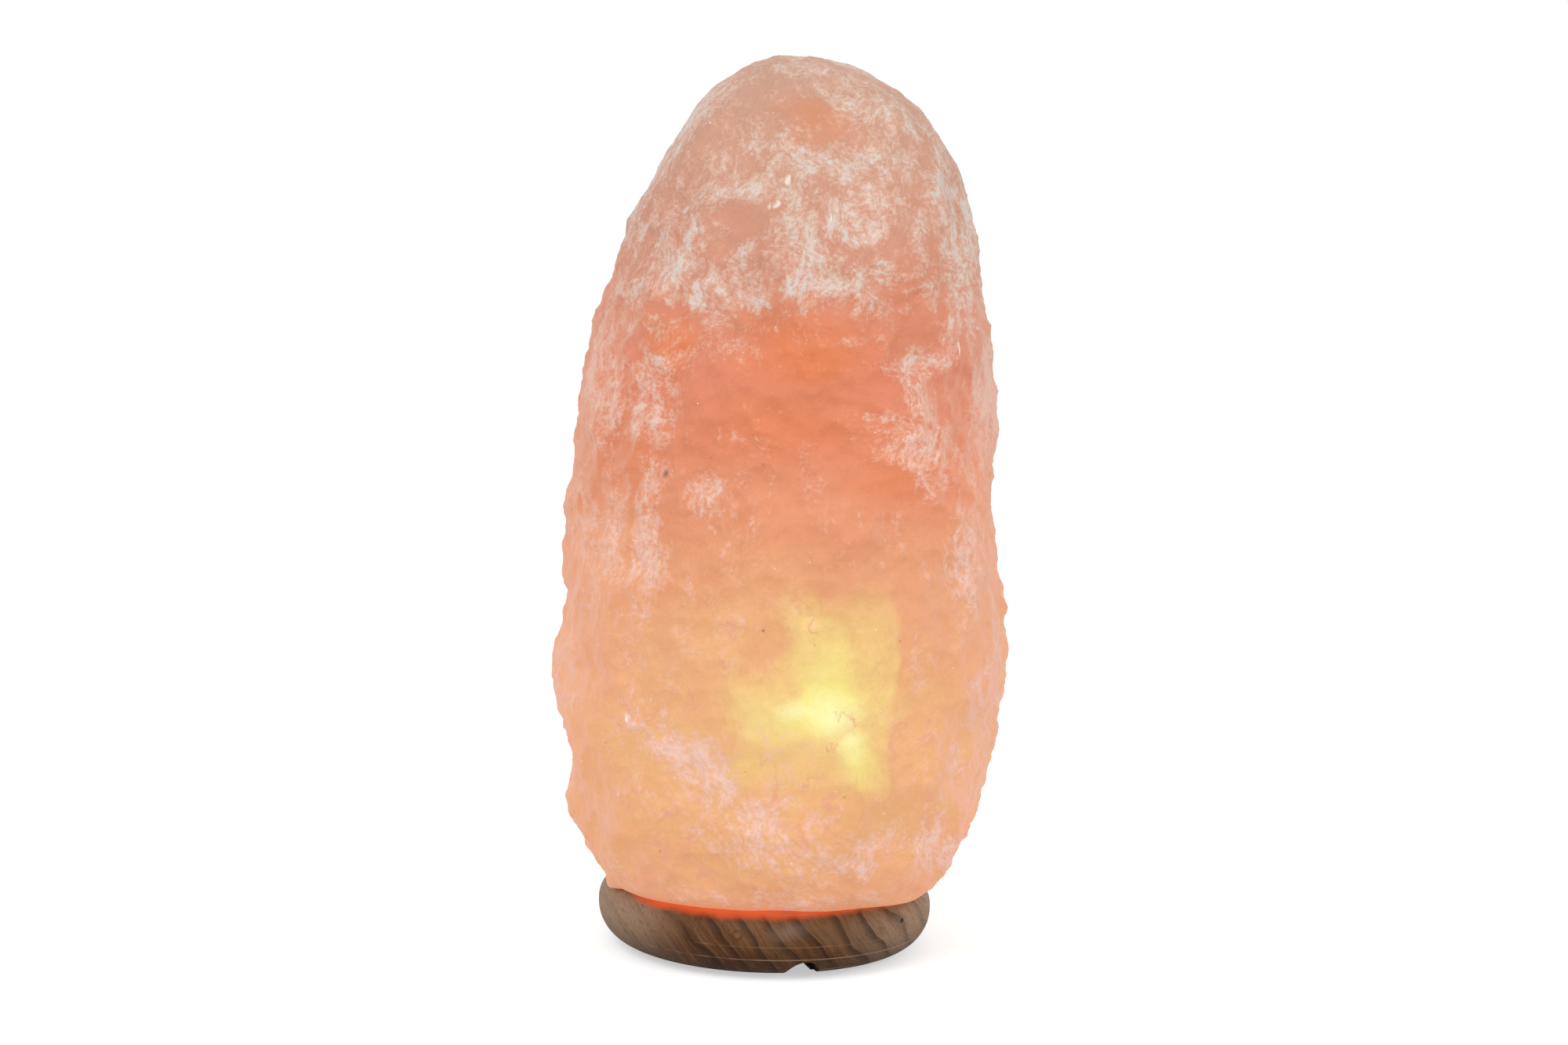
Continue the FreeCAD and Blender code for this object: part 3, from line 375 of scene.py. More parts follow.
# ovals seen from the front, in millimetres; a positive tilt leans the top to the right
frostOvals = (
    {"at": (24, 268), "reach": (22, 14), "tilt": 15, "strength": 1.4},
    {"at": (13, 242), "reach": (24, 13), "tilt": 0, "strength": 1.1},
    {"at": (-27, 240), "reach": (7, 12), "tilt": 10, "strength": 1.25},
    {"at": (-10, 241), "reach": (18, 14), "tilt": 0, "strength": 1.2},
    {"at": (-6, 291), "reach": (9, 12), "tilt": 0, "strength": 0.7},
    {"at": (36, 251), "reach": (10, 10), "tilt": 0, "strength": 1.0},
    {"at": (51, 278), "reach": (9, 15), "tilt": -25, "strength": 0.85},
    {"at": (-38, 248), "reach": (8, 22), "tilt": 8, "strength": 0.85},
    {"at": (5, 248), "reach": (54, 28), "tilt": 0, "strength": 0.84},
    {"at": (-60, 212), "reach": (12, 34), "tilt": 6, "strength": 0.7},
    {"at": (57, 246), "reach": (8, 42), "tilt": -5, "strength": 0.95},
    {"at": (8, 316), "reach": (40, 10), "tilt": 0, "strength": 0.6},
    {"at": (77, 202), "reach": (14, 38), "tilt": 0, "strength": 1.1},
    {"at": (44, 192), "reach": (17, 12), "tilt": 0, "strength": 1.0},
    {"at": (48, 212), "reach": (13, 22), "tilt": 15, "strength": 0.95},
    {"at": (42, 198), "reach": (24, 11), "tilt": 10, "strength": 0.95},
    {"at": (54, 182), "reach": (13, 18), "tilt": 0, "strength": 0.85},
    {"at": (-27, 174), "reach": (12, 15), "tilt": 0, "strength": 0.95},
    {"at": (-42, 212), "reach": (14, 40), "tilt": 6, "strength": 0.85},
    {"at": (-43, 158), "reach": (10, 34), "tilt": 4, "strength": 0.85},
    {"at": (-62, 165), "reach": (14, 64), "tilt": 2, "strength": 0.50},
    {"at": (66, 165), "reach": (11, 46), "tilt": -4, "strength": 0.65},
    {"at": (-20, 70), "reach": (14, 46), "tilt": -36, "strength": 0.95},
    {"at": (-42, 88), "reach": (7, 22), "tilt": -28, "strength": 0.9},
    {"at": (2, 60), "reach": (18, 34), "tilt": -10, "strength": 0.60},
    {"at": (19, 50), "reach": (14, 20), "tilt": 0, "strength": 1.0},
    {"at": (-4, 56), "reach": (38, 20), "tilt": 10, "strength": 0.85},
    {"at": (26, 44), "reach": (34, 20), "tilt": -10, "strength": 0.80},
    {"at": (8, 28), "reach": (62, 8), "tilt": 0, "strength": 0.80},
    {"at": (62, 47), "reach": (12, 16), "tilt": 20, "strength": 0.95},
    {"at": (76, 98), "reach": (8, 48), "tilt": 6, "strength": 0.95},
    {"at": (-74, 90), "reach": (10, 50), "tilt": 0, "strength": 0.4},
)
clearOvals = (
    {"at": (-14, 270), "reach": (19, 10), "tilt": 0, "strength": 0.75},
    {"at": (-22, 299), "reach": (14, 12), "tilt": 0, "strength": 0.4},
    {"at": (-29, 288), "reach": (13, 16), "tilt": 25, "strength": 0.50},
    {"at": (14, 298), "reach": (18, 10), "tilt": 0, "strength": 0.50},
    {"at": (44, 240), "reach": (8, 16), "tilt": 0, "strength": 0.25},
)
emberOvals = (
    {"at": (12, 222), "reach": (52, 26), "tilt": 0, "strength": 1.0},
    {"at": (4, 200), "reach": (60, 26), "tilt": 0, "strength": 0.75},
    {"at": (-37, 224), "reach": (17, 22), "tilt": 0, "strength": 0.95},
    {"at": (10, 299), "reach": (22, 11), "tilt": 0, "strength": 0.45},
    {"at": (40, 178), "reach": (32, 16), "tilt": 0, "strength": 0.5},
    {"at": (45, 235), "reach": (16, 34), "tilt": 0, "strength": 0.45},
    {"at": (-50, 190), "reach": (16, 30), "tilt": 0, "strength": 0.35},
    {"at": (-41, 163), "reach": (4, 6), "tilt": 0, "strength": 0.6},
)
sunOvals = (
    {"at": (17, 102), "reach": (19, 32), "tilt": 60, "strength": 1.0},
    {"at": (31, 84), "reach": (14, 26), "tilt": 5, "strength": 0.80},
    {"at": (22, 106), "reach": (40, 42), "tilt": 0, "strength": 0.62},
    {"at": (-4, 102), "reach": (28, 26), "tilt": 35, "strength": 0.50},
    {"at": (12, 130), "reach": (24, 28), "tilt": 0, "strength": 0.42},
)
hotOvals = (
    {"at": (21, 99), "reach": (17, 12), "tilt": 0, "strength": 1.0},
    {"at": (29, 88), "reach": (9, 12), "tilt": 0, "strength": 0.7},
    {"at": (8, 100), "reach": (9, 7), "tilt": 0, "strength": 0.7},
)
# painted highlights on crystal faces; the one at (-49, 94) is a small whitish crystal
glintOvals = (
    {"at": (0, 279), "reach": (1.7, 3.4), "tilt": 10, "strength": 1.0},
    {"at": (-3, 271), "reach": (2.8, 2.6), "tilt": -20, "strength": 1.0},
    {"at": (17, 267), "reach": (1.2, 2.0), "tilt": 0, "strength": 0.9},
    {"at": (-49, 94), "reach": (3.2, 3.0), "tilt": 0, "strength": 1.0},
    {"at": (63, 222), "reach": (1.0, 4.0), "tilt": 0, "strength": 0.9},
)
speckOvals = (
    {"at": (-38, 179), "reach": (1.5, 2.6), "tilt": 20, "strength": 0.8},
    {"at": (-3, 127), "reach": (0.9, 0.9), "tilt": 0, "strength": 0.8},
)


def splitPlace(tree, place):
    node = tree.nodes.new("ShaderNodeSeparateXYZ")
    feed(tree, node.inputs[0], place)
    return node.outputs


def splitColour(tree, colour):
    node = tree.nodes.new("ShaderNodeSeparateColor")
    feed(tree, node.inputs[0], colour)
    return node.outputs


def heightRamp(tree, z, layers):
    low, high = layers[0][0], layers[-1][0]
    node = tree.nodes.new("ShaderNodeMapRange")
    for name, number in (("Value", z), ("From Min", low / 1000), ("From Max", high / 1000)):
        feed(tree, node.inputs[name], number)
    stops = [((at - low) / (high - low), colour) for at, colour in layers]
    return shades(tree, node.outputs["Result"], stops)


def product(tree, *values):
    total = values[0]
    for value in values[1:]:
        total = calc(tree, "MULTIPLY", total, value)
    return total


def around(tree, value, reach):
    # noise as a push up or down of up to about half of reach
    return calc(tree, "MULTIPLY", calc(tree, "SUBTRACT", value, 0.5), reach)


def asPaint(colours):
    return {name: (*colour, 1) for name, colour in colours.items()}


def saltFields(tree, place):
    # the place seen through rougher and rougher warps, and the noises that the parts of the stone share
    salt = SimpleNamespace()
    salt.drift = wander(tree, place, 0.034, 0.018)
    salt.ragged = wander(tree, salt.drift, 0.0085, 0.0042, 4.0)
    salt.torn = wander(tree, salt.drift, 0.015, 0.017, 6.0)
    salt.place = place
    _, y, salt.z = splitPlace(tree, place)
    salt.driftX, _, salt.driftZ = splitPlace(tree, salt.drift)
    salt.front = fade(tree, y, 0.014, -0.018)
    salt.back = calc(tree, "SUBTRACT", 1.0, salt.front)

    salt.broad = cloud(tree, salt.drift, 0.038, 5.0, 0.6)
    salt.veil = cloud(tree, stretched(tree, salt.ragged, (1, 1, 0.7)), 0.018, 9.0, 0.72)
    salt.sheets = cloud(tree, stretched(tree, salt.ragged, (0.42, 0.42, 1.9)), 0.019, 9.0, 0.72)
    salt.flecks = cloud(tree, stretched(tree, salt.drift, (1, 1, 0.6)), 0.0045, 6.0, 0.72)
    salt.sugar = cloud(tree, salt.drift, 0.0016, 5.0, 0.78)
    upright = cloud(tree, stretched(tree, salt.drift, (1, 1, 0.13)), 0.0028, 4.0, 0.65)
    slanted = cloud(tree, leaned(tree, salt.drift, -34, (1, 1, 0.16)), 0.0030, 4.0, 0.65)
    salt.low = product(tree, fade(tree, salt.driftZ, 0.135, 0.095), salt.front)
    salt.strands = calc(tree, "MULTIPLY_ADD", salt.low, calc(tree, "SUBTRACT", slanted, upright), upright)
    return salt


def clearSalt(tree, salt, paint):
    ember = product(tree, patches(tree, salt.torn, emberOvals), salt.front)
    behind = product(tree, fade(tree, salt.broad, 0.46, 0.62), fade(tree, salt.driftZ, 0.150, 0.205),
                     fade(tree, salt.driftZ, 0.285, 0.225), salt.back)
    salt.ember = calc(tree, "MAXIMUM", ember, behind)
    body = heightRamp(tree, salt.driftZ, saltLayers)
    return blend(tree, salt.ember, body, paint["ember"])


def bulbLight(tree, salt, paint, body):
    # the bulb's light through the salt, brightest where the hollow lies nearest
    light = saltLight
    lean = calc(tree, "ADD", salt.driftX, light["facetStart"])
    lean = calc(tree, "MULTIPLY_ADD", salt.driftZ, -light["facetSlope"], lean)
    facet = product(tree, fade(tree, lean, -0.005, 0.012), fade(tree, salt.driftX, 0.047, 0.040),
                    fade(tree, salt.driftZ, 0.158, 0.118), fade(tree, salt.driftZ, 0.050, 0.084), salt.front)
    bulb = vectorCalc(tree, "DISTANCE", salt.drift, light["bulb"])
    salt.halo = fade(tree, bulb, light["haloFar"], light["haloNear"])
    facet = calc(tree, "MULTIPLY", facet, 0.85)
    amber = calc(tree, "MAXIMUM", facet, calc(tree, "MULTIPLY", salt.halo, 0.55))
    amber = calc(tree, "ADD", amber, around(tree, salt.veil, 0.5))
    body = blend(tree, fade(tree, amber, 0.05, 1.0), body, paint["amber"])
    sun = product(tree, patches(tree, salt.ragged, sunOvals), salt.front)
    backSpot = vectorCalc(tree, "DISTANCE", salt.ragged, light["backSpot"])
    backSun = product(tree, fade(tree, backSpot, 0.030, 0.006), salt.back)
    sun = calc(tree, "MAXIMUM", sun, calc(tree, "MULTIPLY", backSun, 0.8))
    sun = calc(tree, "ADD", sun, product(tree, around(tree, salt.veil, 1.0), fade(tree, sun, 0.0, 0.3)))
    salt.sun = fade(tree, sun, 0.10, 1.00)
    body = blend(tree, salt.sun, body, paint["sunny"])
    hot = product(tree, patches(tree, salt.ragged, hotOvals), salt.front)
    body = blend(tree, calc(tree, "MULTIPLY", hot, 0.8), body, paint["hot"])

    crack = cloud(tree, salt.torn, 0.024, 3.0, 0.6)
    crack = calc(tree, "ABSOLUTE", calc(tree, "SUBTRACT", crack, 0.5))
    veins = product(tree, fade(tree, crack, 0.020, 0.003), fade(tree, salt.broad, 0.42, 0.52),
                    fade(tree, salt.driftZ, 0.17, 0.13))
    return blend(tree, calc(tree, "MULTIPLY", veins, 0.7), body, paint["vein"])


def frostOver(tree, salt, paint, body):
    # frost: abraded, milky salt, thickest in the ovals and on edges
    flank = tree.nodes.new("ShaderNodeNewGeometry")
    sideways = calc(tree, "ABSOLUTE", splitPlace(tree, flank.outputs["Normal"])[0])
    salt.side = fade(tree, sideways, 0.50, 0.92)
    placed = product(tree, patches(tree, salt.torn, frostOvals, 0.25), salt.front)
    upper = fade(tree, splitPlace(tree, salt.torn)[2], 0.212, 0.248, 0.0, 0.60)
    rest = product(tree, fade(tree, salt.broad, 0.42, 0.66), salt.back, 0.8)
    density = calc(tree, "MAXIMUM", calc(tree, "MULTIPLY", placed, 0.9), rest)
    density = calc(tree, "MAXIMUM", density, upper)
    clear = product(tree, patches(tree, salt.torn, clearOvals), salt.front)
    density = calc(tree, "SUBTRACT", density, calc(tree, "MULTIPLY_ADD", salt.ember, 0.25, clear))
    density = calc(tree, "MULTIPLY_ADD", salt.side, 0.20, density)
    wear = tree.nodes.new("ShaderNodeVertexColor")
    wear.layer_name = "edgeWear"
    edge = splitColour(tree, wear.outputs["Color"])[0]

    # broken up by mist, flecks, fine sugar and scratches
    sheeted = fade(tree, salt.ember, 0.0, 0.5)
    mist = calc(tree, "MULTIPLY_ADD", sheeted, calc(tree, "SUBTRACT", salt.sheets, salt.veil), salt.veil)
    density = calc(tree, "ADD", density, around(tree, fade(tree, mist, 0.33, 0.67), 1.0))
    density = calc(tree, "ADD", density, around(tree, fade(tree, salt.flecks, 0.38, 0.62), 0.42))
    density = calc(tree, "ADD", density, around(tree, fade(tree, salt.sugar, 0.36, 0.64), 0.60))
    streaky = calc(tree, "MULTIPLY", salt.side, 0.6)
    streaky = calc(tree, "ADD", streaky, calc(tree, "MULTIPLY_ADD", salt.low, 0.5, 0.35))
    strand = product(tree, around(tree, fade(tree, salt.strands, 0.36, 0.64), 0.6), streaky)
    density = calc(tree, "ADD", density, strand)
    density = calc(tree, "ADD", density, around(tree, edge, 0.4))
    sunless = calc(tree, "MULTIPLY_ADD", salt.sun, -0.85, 1.0)
    salt.frost = product(tree, fade(tree, density, 0.06, 1.08), 0.92, sunless)
    high = fade(tree, salt.driftZ, 0.175, 0.250)
    white = product(tree, fade(tree, density, 0.64, 1.30), calc(tree, "MULTIPLY_ADD", high, 0.4, 0.6))
    mistColour = blend(tree, high, paint["mistLow"], paint["mistHigh"])
    frostColour = blend(tree, high, paint["frostLow"], paint["frostHigh"])
    body = blend(tree, salt.frost, body, blend(tree, white, mistColour, frostColour))
    return blend(tree, 1.0, body, fade(tree, salt.sugar, 0.36, 0.64, 0.97, 1.03), "MULTIPLY")


def smallMarks(tree, salt, paint, body):
    # rosier, paler flanks: painted light, the bulb's glow showing through the thinner edges
    flankGlow = product(tree, salt.side, fade(tree, salt.driftZ, 0.275, 0.200))
    body = blend(tree, calc(tree, "MULTIPLY", flankGlow, 0.5), body, paint["flankGlow"])

    specks = product(tree, patches(tree, salt.place, speckOvals), salt.front)
    body = blend(tree, specks, body, paint["speck"])
    grains = product(tree, fade(tree, cells(tree, salt.place, 0.013), 0.050, 0.025), 0.40)
    body = blend(tree, grains, body, paint["grain"])
    # painted highlights: small sparkles over the stone and the listed glints, put into the colour
    glints = fade(tree, cells(tree, salt.ragged, 0.0052), 0.075, 0.045)
    glints = product(tree, glints, fade(tree, salt.flecks, 0.52, 0.60), 0.75)
    placed = patches(tree, salt.ragged, glintOvals)
    placed = product(tree, placed, salt.front, fade(tree, salt.strands, 0.40, 0.50, 0.4, 1.0))
    glints = calc(tree, "MAXIMUM", glints, fade(tree, placed, 0.10, 0.80, 0.0, 0.75))
    body = blend(tree, glints, body, paint["glint"])
    return blend(tree, 1.0, body, fade(tree, salt.broad, 0.25, 0.75, 0.96, 1.05), "MULTIPLY")


def shareLit(tree, salt, hollow):
    # share of the colour that comes out as light
    lit = fade(tree, salt.driftZ, 0.300, 0.060, 0.05, 0.55)
    lit = calc(tree, "MAXIMUM", lit, calc(tree, "MULTIPLY", salt.ember, 0.40))
    lit = calc(tree, "MAXIMUM", lit, calc(tree, "MULTIPLY", salt.halo, 0.70))
    lit = calc(tree, "MAXIMUM", lit, calc(tree, "MULTIPLY", salt.sun, 0.92))
    lit = calc(tree, "MULTIPLY", lit, calc(tree, "MULTIPLY_ADD", salt.frost, -0.30, 1.0))
    return calc(tree, "MAXIMUM", lit, calc(tree, "MULTIPLY", hollow, 0.9), clamp=True)


def saltMaterial():
    paint = asPaint(saltColours)
    light = saltLight
    material, tree, shader, place = newSurface("rockSalt")
    salt = saltFields(tree, place)
    body = clearSalt(tree, salt, paint)
    body = bulbLight(tree, salt, paint, body)
    body = frostOver(tree, salt, paint, body)
    body = smallMarks(tree, salt, paint, body)
    # painted light: the hollow's walls are painted amber and mostly given out as light, as the bulb would
    # light them
    radius = vectorCalc(tree, "LENGTH", vectorCalc(tree, "MULTIPLY", place, (1, 1, 0)))
    hollow = fade(tree, radius, *light["hollowRadius"])
    hollow = product(tree, hollow, fade(tree, salt.z, *light["hollowTop"]))
    lit = shareLit(tree, salt, hollow)
    body = blend(tree, hollow, body, paint["amber"])
    feed(tree, shader.inputs["Base Color"], blend(tree, lit, body, (0, 0, 0, 1)))
    feed(tree, shader.inputs["Emission Color"], blend(tree, lit, (0, 0, 0, 1), body))
    shader.inputs["Emission Strength"].default_value = 1.0
    feed(tree, shader.inputs["Roughness"], fade(tree, salt.sugar, 0.25, 0.75, 0.28, 0.60))
    shader.inputs["IOR"].default_value = 1.54

    # the light feeds only the bump's strength: Blender copies all that feeds its height three times
    relief = calc(tree, "MULTIPLY_ADD", salt.sugar, 0.7, calc(tree, "MULTIPLY", salt.flecks, 1.0))
    relief = calc(tree, "MULTIPLY_ADD", salt.strands, 0.5, relief)
    bumpUp(tree, shader, relief, 0.0010, calc(tree, "MULTIPLY_ADD", lit, -0.6, 0.7))
    return material


# wood disc

woodColours = {
    "ends": (0.40, 0.27, 0.18),
    "pale": (0.225, 0.115, 0.055),
    "tan": (0.125, 0.050, 0.017),
    "brown": (0.078, 0.028, 0.008),
    "ring": (0.022, 0.009, 0.004),
    "scratch": (0.42, 0.28, 0.18),
    "paintedHighlight": (0.30, 0.24, 0.20),
    "pitShade": (0.010, 0.005, 0.003),
    "glow": (0.80, 0.100, 0.024),
    "glowWood": (0.04, 0.008, 0.003),
}

woodLook = {
    "ringGap": 0.0087,
    "ringStart": 0.0009,
    "ringNormal": (0.78, 0.12, 0.61),
    "knot": (-9, 17, 2.8, 2.8),      # place and reach from the front, in millimetres
    "pit": (49, 18, 1.0, 1.4),
    "highlightSpot": (9, 18.5, 11, 4.5),
    "glowTop": 0.0241,
    "glowFoot": 0.0214,
    "glowLeft": (-0.050, -0.040),    # where the glow starts and has its full strength
    "glowRight": (0.059, 0.050),
}


def woodMaterial():
    look = woodLook
    paint = asPaint(woodColours)
    material, tree, shader, place = newSurface("turnedWood")
    drift = wander(tree, place, 0.022, 0.0040)
    x, y, z = splitPlace(tree, place)
    driftX = splitPlace(tree, drift)[0]
    front = fade(tree, y, 0.012, -0.018)
    across = vectorCalc(tree, "DOT_PRODUCT", drift, look["ringNormal"])
    across = calc(tree, "ADD", across, around(tree, cloud(tree, place, 0.024, 2.0), 0.009))
    step = calc(tree, "DIVIDE", calc(tree, "SUBTRACT", across, look["ringStart"]), look["ringGap"])
    step = calc(tree, "FRACT", step)
    late = product(tree, calc(tree, "POWER", fade(tree, step, 0.40, 0.93), 2.2), fade(tree, step, 1.0, 0.96))
    second = calc(tree, "FRACT", calc(tree, "DIVIDE", across, look["ringGap"] * 0.37))
    thin = product(tree, fade(tree, second, 0.70, 0.92), fade(tree, second, 1.0, 0.94), 0.35)

    # fibres run along the growth rings
    lean = -math.degrees(math.atan2(look["ringNormal"][2], look["ringNormal"][0]))
    fibre = cloud(tree, leaned(tree, drift, lean, (1, 0.2, 0.06)), 0.0010, 5.0, 0.75)
    pores = cloud(tree, leaned(tree, place, lean, (1, 1, 0.2)), 0.0007, 2.0, 0.5)
    tone = cloud(tree, leaned(tree, place, lean, (1, 0.6, 0.4)), 0.026, 3.0)

    stops = ((0.30, woodColours["brown"]), (0.50, woodColours["tan"]), (0.75, woodColours["pale"]))
    colour = shades(tree, tone, stops)
    # the left and right ends of the disc made lighter: painted sheen, partly the paler end grain
    ends = fade(tree, calc(tree, "ABSOLUTE", driftX), 0.024, 0.053)
    ends = product(tree, ends, fade(tree, z, 0.001, 0.009, 0.65, 1.0), 0.85)
    colour = blend(tree, ends, colour, paint["ends"])
    # painted shade: the colour darkens towards the bottom of the disc, where its rounded underside turns
    # away from the light
    paintedShadeBelow = fade(tree, z, 0.004, 0.017, 0.55, 1.0)
    colour = blend(tree, 1.0, colour, paintedShadeBelow, "MULTIPLY")
    colour = blend(tree, fade(tree, fibre, 0.46, 0.66, 0.0, 0.55), colour, paint["pale"])
    colour = blend(tree, fade(tree, fibre, 0.50, 0.34, 0.0, 0.50), colour, paint["brown"])
    colour = blend(tree, fade(tree, pores, 0.60, 0.72, 0.0, 0.45), colour, paint["ring"])
    marked = product(tree, fade(tree, x, -0.036, -0.022), fade(tree, x, 0.058, 0.040, 0.4, 1.0), front)
    markedBehind = calc(tree, "MULTIPLY", fade(tree, tone, 0.42, 0.58), calc(tree, "SUBTRACT", 1.0, front))
    marked = calc(tree, "MAXIMUM", marked, markedBehind)
    rings = product(tree, calc(tree, "MAXIMUM", late, thin), calc(tree, "MULTIPLY_ADD", marked, 0.60, 0.14))
    rings = product(tree, rings, fade(tree, fibre, 0.30, 0.55, 0.7, 1.0))
    colour = blend(tree, rings, colour, paint["ring"])

    # lathe marks: thin pale lines round the disc, here and there
    level = tree.nodes.new("ShaderNodeCombineXYZ")
    tree.links.new(z, level.inputs[2])
    marks = fade(tree, cloud(tree, level.outputs[0], 0.0010, 1.0, 0.5), 0.56, 0.66)
    marks = product(tree, marks, fade(tree, cloud(tree, place, 0.020, 3.0), 0.40, 0.58), 0.60)
    colour = blend(tree, marks, colour, paint["scratch"])

    knot = product(tree, patch(tree, drift, *look["knot"]), front)
    ring = product(tree, fade(tree, knot, 0.10, 0.35), fade(tree, knot, 0.75, 0.5))
    colour = blend(tree, calc(tree, "MULTIPLY", ring, 0.35), colour, paint["ring"])
    colour = blend(tree, fade(tree, knot, 0.75, 0.95, 0.0, 0.5), colour, paint["pale"])
    # a painted highlight: the soft reflection of a light on the front of the disc
    paintedHighlight = product(tree, patch(tree, drift, *look["highlightSpot"]), front)
    colour = blend(tree, calc(tree, "MULTIPLY", paintedHighlight, 0.28), colour, paint["paintedHighlight"])
    # painted shade: a small pit in the front, its floor painted near black
    pit = product(tree, patch(tree, place, *look["pit"]), front)
    colour = blend(tree, fade(tree, pit, 0.2, 0.6, 0.0, 0.85), colour, paint["pitShade"])

    # light from the salt's foot on the top of the disc
    wavy = calc(tree, "ADD", z, around(tree, cloud(tree, place, 0.012, 3.0), 0.0024))
    wavy = calc(tree, "SUBTRACT", wavy, fade(tree, x, -0.020, 0.030, 0.0, 0.0008))
    spill = fade(tree, wavy, look["glowFoot"], look["glowTop"])
    radius = vectorCalc(tree, "LENGTH", vectorCalc(tree, "MULTIPLY", place, (1, 1, 0)))
    spill = product(tree, spill, fade(tree, radius, 0.028, 0.036), fade(tree, z, 0.014, 0.018),
                    fade(tree, x, *look["glowLeft"]), fade(tree, x, *look["glowRight"]))
    feed(tree, shader.inputs["Base Color"], blend(tree, spill, colour, paint["glowWood"]))
    feed(tree, shader.inputs["Emission Color"], blend(tree, spill, (0, 0, 0, 1), paint["glow"]))
    shader.inputs["Emission Strength"].default_value = 0.9
    feed(tree, shader.inputs["Roughness"], fade(tree, fibre, 0.2, 0.8, 0.42, 0.62))
    shader.inputs["Specular IOR Level"].default_value = 0.14
    shader.inputs["Sheen Weight"].default_value = 0.06
    shader.inputs["Sheen Roughness"].default_value = 0.45
    shader.inputs["Sheen Tint"].default_value = (0.9, 0.78, 0.66, 1)
    height = calc(tree, "MULTIPLY_ADD", marks, -0.5, calc(tree, "MULTIPLY_ADD", rings, -0.6, fibre))
    bumpUp(tree, shader, calc(tree, "MULTIPLY_ADD", pores, 0.3, height), 0.00022, 0.7)
    return material


# metals, ceramic, glass and mouldings

# lean: how far the drawing marks are stretched along each direction
metalFinishes = {
    "zincSteel": {"bright": (0.62, 0.64, 0.66), "dull": (0.40, 0.39, 0.36), "rough": 0.26,
                  "lean": (1, 1, 0.06)},
    "plainBrass": {"bright": (0.83, 0.61, 0.27), "dull": (0.48, 0.30, 0.12), "rough": 0.24,
                   "lean": (0.06, 0.06, 1)},
    "springBronze": {"bright": (0.78, 0.48, 0.26), "dull": (0.46, 0.24, 0.11), "rough": 0.26,
                     "lean": (1, 1, 0.06)},
    "springSteel": {"bright": (0.50, 0.50, 0.51), "dull": (0.24, 0.22, 0.20), "rough": 0.30,
                    "lean": (1, 0.06, 1)},
    "nickelledBrass": {"bright": (0.74, 0.71, 0.64), "dull": (0.50, 0.44, 0.33), "rough": 0.20,
                       "lean": (0.06, 0.06, 1)},
}

plasticFinishes = {
    "greyNylon": {"colour": (0.30, 0.31, 0.32), "shade": (0.20, 0.20, 0.21), "rough": 0.45},
    "whiteMoulding": {"colour": (0.80, 0.79, 0.75), "shade": (0.66, 0.62, 0.54), "rough": 0.32},
}

fittingColours = {
    "felt": (0.010, 0.009, 0.009, 1),
    "feltHair": (0.050, 0.046, 0.043, 1),
    "feltWorn": (0.075, 0.066, 0.058, 1),
    "steatite": (0.80, 0.77, 0.70, 1),
    "steatiteShade": (0.70, 0.64, 0.54, 1),
    "steatiteFleck": (0.42, 0.36, 0.28, 1),
    "solder": (0.78, 0.77, 0.75, 1),
    "solderDull": (0.46, 0.45, 0.43, 1),
    "blackGlass": (0.006, 0.006, 0.008, 1),
    "blackGlassSwirl": (0.035, 0.026, 0.034, 1),
    "clearGlass": (0.98, 0.99, 0.98, 1),
    "clearGlassDust": (0.88, 0.86, 0.80, 1),
    "tungsten": (0.10, 0.09, 0.08, 1),
    "tungstenPale": (0.20, 0.17, 0.14, 1),
    "glowDeep": (1.0, 0.55, 0.18, 1),
    "glowBright": (1.0, 0.78, 0.42, 1),
}


def brushedMetal(name, bright, dull, rough, lean):
    # bright metal with fine drawing marks, and duller where it has been handled
    material, tree, shader, place = newSurface(name)
    marks = cloud(tree, stretched(tree, place, lean), 0.0009, 3.0, 0.6)
    clouds = cloud(tree, place, 0.006, 4.0, 0.6)
    spots = fade(tree, cells(tree, place, 0.0022), 0.18, 0.02, 0.0, 0.35)
    share = calc(tree, "ADD", fade(tree, clouds, 0.40, 0.70, 0.0, 0.35), spots, clamp=True)
    feed(tree, shader.inputs["Base Color"], blend(tree, share, (*bright, 1), (*dull, 1)))
    shader.inputs["Metallic"].default_value = 1.0
    worn = calc(tree, "MULTIPLY_ADD", clouds, 0.6, marks)
    feed(tree, shader.inputs["Roughness"], fade(tree, worn, 0.5, 1.1, rough, rough + 0.22))
    bumpUp(tree, shader, marks, 0.00003, 0.5)
    return material


def mouldedPlastic(name, colour, shade, rough):
    # fine spark-eroded grain with a slight unevenness of tone
    material, tree, shader, place = newSurface(name)
    tone = cloud(tree, place, 0.008, 3.0)
    grain = cloud(tree, place, 0.00035, 2.0, 0.5)
    dirt = fade(tree, cloud(tree, place, 0.003, 5.0, 0.7), 0.55, 0.80, 0.0, 0.25)
    share = calc(tree, "ADD", fade(tree, tone, 0.3, 0.7, 0.0, 0.3), dirt)
    feed(tree, shader.inputs["Base Color"], blend(tree, share, (*colour, 1), (*shade, 1)))
    feed(tree, shader.inputs["Roughness"], fade(tree, grain, 0.3, 0.7, rough, rough + 0.14))
    bumpUp(tree, shader, grain, 0.00004, 0.6)
    return material


